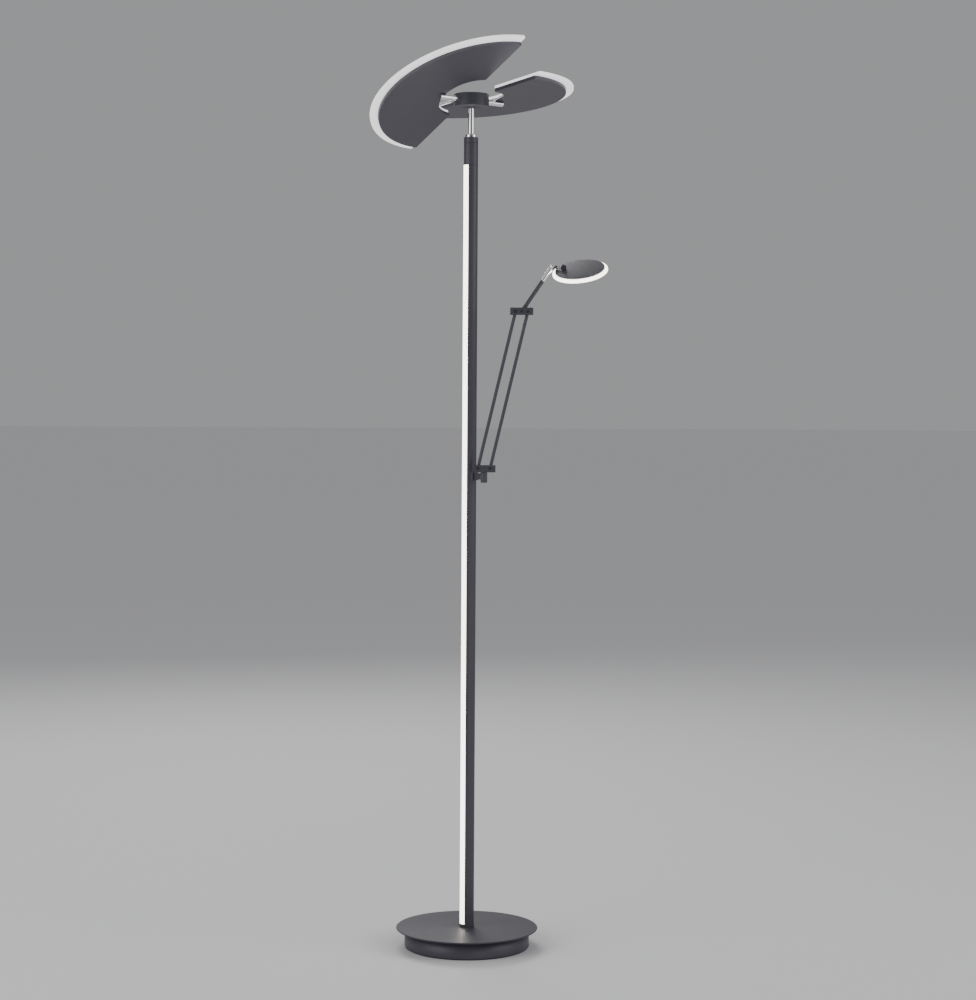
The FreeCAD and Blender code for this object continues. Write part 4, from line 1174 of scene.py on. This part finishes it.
        def build(shape: BMesh) -> None:
            outline = rounded([(bore, -half, 0), (radius, -half, 0.4), (radius, half, 0.4), (bore, half, 0)])
            turn(shape, outline, steps=SMALL_ROUND, closed=True)
        return mesh_from(build, name, place)

    @staticmethod
    def _rod(name: str, start: Vector, end: Vector, radius: float) -> Mesh:
        """Round rod between two points of the arm's plane."""
        return tube_mesh(name, [start * MM, end * MM], radius, Slot.COAT)

    def _link(self, name: str, foot: Vector, head: Vector) -> None:
        """Adds one link rod with an eye at each end."""
        step = (head - foot).normalized() * self.eye_radius * 0.9
        shaft = self._rod(name + "_shaft", foot + step, head - step, self.link_radius)
        eyes = [self._eye(name + "_eye", end, self.eye_radius) for end in (foot, head)]
        mesh = joined(name, shaft, *eyes)
        mesh.transform(self.place)
        finish_piece(name + "_rod", mesh, Slot.COAT, name, ["link_rod_" + name[-1]])

    def _pins(self, name: str, body: str, node: str, pivot: Vector, offsets: Sequence[float]) -> None:
        """Adds headed pins across the bar at each offset from its middle pivot."""
        half = self.bar[1] / 2
        radius = self.pin_radius
        lip, rise = self.pin_head
        head, end = radius + lip, half + rise

        def pin(shape: BMesh) -> None:
            turn(shape, rounded([(0, -end, 0), (head, -end, 0.35), (head, -half, 0), (radius, -half, 0),
                                 (radius, half, 0), (head, half, 0), (head, end, 0.35), (0, end, 0)]),
                 steps=SMALL_ROUND)
        place = self.place @ along(pivot * MM, (pivot + Vector((0, 1, 0))) * MM, Vector((1, 0, 0)))
        mesh = repeated(name, [(x, 0) for x in offsets], 0.0, mesh_from(pin, "pin"), Slot.BLACK_STEEL, place)
        finish_piece(name, mesh, Slot.BLACK_STEEL, body, [node])

    def _upper_arm(self, elbow: Vector) -> None:
        """Adds the tube above the elbow and the spigot that the chrome neck turns on."""
        axis = self.lean(self.arm_lean)
        shoulder = self.arm_length - self.sleeve - self.collar - self.gap
        stretches = (
            ("arm_root", 3.0, 7.0, self.eye / 2), ("arm_tube", 6.0, shoulder, self.arm_radius),
            ("arm_spigot", shoulder - 1, self.arm_length - self.fork, self.arm_radius - self.spigot_step))
        rods = [self._rod(name, elbow + axis * start, elbow + axis * end, radius)
                for name, start, end, radius in stretches]
        mesh = joined("upper_arm", *rods, self._eye("arm_eye", elbow, self.arm_radius + self.eye_lip))
        mesh.transform(self.place)
        finish_piece("upper_arm_tube", mesh, Slot.COAT, "forearm", ["upper_arm"])

    def _cap(self) -> None:
        """Adds the cap under the swivel's boss."""
        top = self.swivel_top - self.boss - self.gap
        bottom = top - self.cap
        turned_piece("swivel_cap_turned", Slot.COAT, "arm_base", "swivel_cap", [
            (0, bottom, 0), (self.boss_radius, bottom, 0.8), (self.boss_radius, top, 0), (0, top, 0)],
            SMALL_ROUND, place=self.place)


@dataclass
class ReadingHead:
    """Round reading head: opal disc under a shallow cover, on its bracket."""

    roll: float = 25.8
    reach: float = 56.0
    drop: float = 10.0
    radius: float = 54.0
    disc: float = 6.5
    cover_radius: float = 48.5
    cover: float = 3.0
    cover_wall: float = 1.5
    skin: float = 1.2

    @property
    def place(self) -> Matrix:
        """Where the head's disc goes from its own level frame, centred on the disc."""
        tip = joint_point("head_tilt")
        reach = joint_axis("head_roll")
        level = along(tip, tip + Vector((0, 0, 1)), reach)
        return level @ Matrix.Rotation(math.radians(self.roll), 4, "X") @ Matrix.Translation(
            (self.reach * MM, 0, -self.drop * MM))

    def build(self) -> None:
        """Adds the head's visible pieces."""
        half = self.disc / 2
        round_edge = self.disc * 0.4
        top = half + self.cover
        roof = top - self.skin
        inner = self.cover_radius - self.cover_wall
        turned_piece("head_disc", Slot.OPAL, "head", "head_diffuser", [
            (0, -half, 0), (self.radius, -half, round_edge), (self.radius, half, round_edge), (0, half, 0)],
            128, arc=8, place=self.place)
        turned_piece("head_lid", Slot.COAT, "head", "head_cover", [
            (0, top, 0), (self.cover_radius, top, 0.9), (self.cover_radius, half, 0), (inner, half, 0),
            (inner, roof, 0), (0, roof, 0)], 128, arc=6, place=self.place)


# ---------------------------------------------------------------- studio


@dataclass
class Studio:
    """Pale floor, even world and soft area lights, with the camera at the portrait's angle."""

    eye: tuple[float, float, float] = (-2.633, -3.370, 1.034)
    heading: tuple[float, float] = (0.6225, 0.7826)
    pitch: float = 0.035
    roll: float = 0.0058
    lens: float = 78.23
    floor_half: float = 400.0
    floor_tone: tuple[float, float, float] = (0.90, 0.90, 0.905)
    floor_roughness: float = 0.85
    flag_back: float = 1.2
    flag_half: float = 1.1
    flag_span: tuple[float, float] = (-1.0, 2.4)
    flag_tone: tuple[float, float, float] = (0.004, 0.004, 0.005)
    world_tone: tuple[float, float, float] = (0.325, 0.328, 0.335)

    def build(self) -> None:
        """Adds the floor, the lights, the dark flag and the camera."""
        self._floor()
        self._world()
        for name, spot, height, size, power in (
                ("left_box", (-3.6, 0.2, 2.0), 1.1, 2.6, 52.0),
                ("right_box", (2.2, -3.4, 2.2), 1.1, 2.4, 50.0),
                ("back_box", (1.4, 3.2, 3.4), 1.4, 1.8, 60.0),
                ("low_box", (-0.8, -3.2, 0.25), 1.7, 1.2, 12.0)):
            self._light(name, Vector(spot), Vector((0, 0, height)), size, power)
        self._flag()
        self._camera()

    def _flag(self) -> None:
        """Adds a dark flag behind the camera, which gives polished rods their dark core."""
        level = Vector((*self.heading, 0)).normalized()
        centre = Vector(self.eye) - level * self.flag_back
        right = Vector((level.y, -level.x, 0)) * self.flag_half
        low, high = self.flag_span
        corners = [centre + side * right + Vector((0, 0, rise)) for side, rise in
                   ((-1, low), (1, low), (1, high), (-1, high))]
        mesh = bpy.data.meshes.new("flag")
        mesh.from_pydata([tuple(corner) for corner in corners], [], [(0, 1, 2, 3)])
        flag = add_object("flag", mesh)
        cloth = bpy.data.materials.new("flag")
        cloth.use_nodes = True
        shader = cloth.node_tree.nodes["Principled BSDF"]
        shader.inputs["Base Color"].default_value = (*self.flag_tone, 1.0)
        mesh.materials.append(cloth)
        flag.visible_camera = False
        flag.visible_shadow = False

    def _floor(self) -> None:
        """Adds the floor."""
        mesh = bpy.data.meshes.new("floor")
        far = self.floor_half
        mesh.from_pydata([(-far, -far, 0), (far, -far, 0), (far, far, 0), (-far, far, 0)], [], [(0, 1, 2, 3)])
        floor = add_object("floor", mesh)
        paint = bpy.data.materials.new("floor")
        paint.use_nodes = True
        shader = paint.node_tree.nodes["Principled BSDF"]
        shader.inputs["Base Color"].default_value = (*self.floor_tone, 1.0)
        shader.inputs["Roughness"].default_value = self.floor_roughness
        mesh.materials.append(paint)

    def _world(self) -> None:
        """Sets the even pale world."""
        world = bpy.data.worlds.new("studio")
        world.use_nodes = True
        sky = world.node_tree.nodes["Background"]
        sky.inputs["Color"].default_value = (*self.world_tone, 1.0)
        sky.inputs["Strength"].default_value = 1.0
        bpy.context.scene.world = world

    @staticmethod
    def _light(name: str, spot: Vector, target: Vector, size: float, power: float) -> None:
        """Adds a square area light that looks at a point."""
        lamp = bpy.data.lights.new(name, "AREA")
        lamp.size = size
        lamp.energy = power
        piece = add_object(name, lamp)
        piece.location = spot
        piece.rotation_euler = (target - spot).to_track_quat("-Z", "Y").to_euler()

    def _camera(self) -> None:
        """Adds the camera."""
        level = Vector((*self.heading, 0)).normalized()
        forward = level * math.cos(self.pitch) - Vector((0, 0, math.sin(self.pitch)))
        right = Vector((level.y, -level.x, 0))
        up = right.cross(forward)
        side = math.cos(self.roll) * right + math.sin(self.roll) * up
        top = math.cos(self.roll) * up - math.sin(self.roll) * right
        lens = bpy.data.cameras.new("camera")
        lens.lens = self.lens
        lens.sensor_width = 36.0
        lens.clip_end = 1000.0
        camera = add_object("camera", lens)
        turned = Matrix((side, top, -forward)).transposed().to_4x4()
        camera.matrix_world = Matrix.Translation(self.eye) @ turned
        bpy.context.scene.camera = camera


def clear_defaults() -> None:
    """Removes the start-up scene's own cube, light and camera."""
    for piece in list(bpy.data.objects):
        if piece.name in ("Cube", "Light", "Camera"):
            bpy.data.objects.remove(piece)


def dress_nodes() -> None:
    """Gives every node of the frame its slot's finish."""
    slots = {slot.value: slot for slot in Slot}
    for name, node in frame["nodes"].items():
        given = node.data.materials[0].name.split(".")[0]
        node.data.materials.clear()
        node.data.materials.append(FINISHES[slots[given]].material())
        LOG.info("%s: dressed as %s", name, given)


def main() -> None:
    """Dresses the frame, builds the visible pieces and the studio."""
    logging.basicConfig(level=logging.INFO, format="%(name)s: %(message)s")
    clear_defaults()
    dress_nodes()
    panels = (HalfPanel(Side.LEFT, -25.8), HalfPanel(Side.RIGHT, -5.0))
    leads = tuple(FeedLead(panel) for panel in panels)
    for part in (Base(), Column(), Hub(), *panels, *leads, ReadingArm(), ReadingHead()):
        part.build()
    Studio().build()


if __name__ == "__main__":
    main()
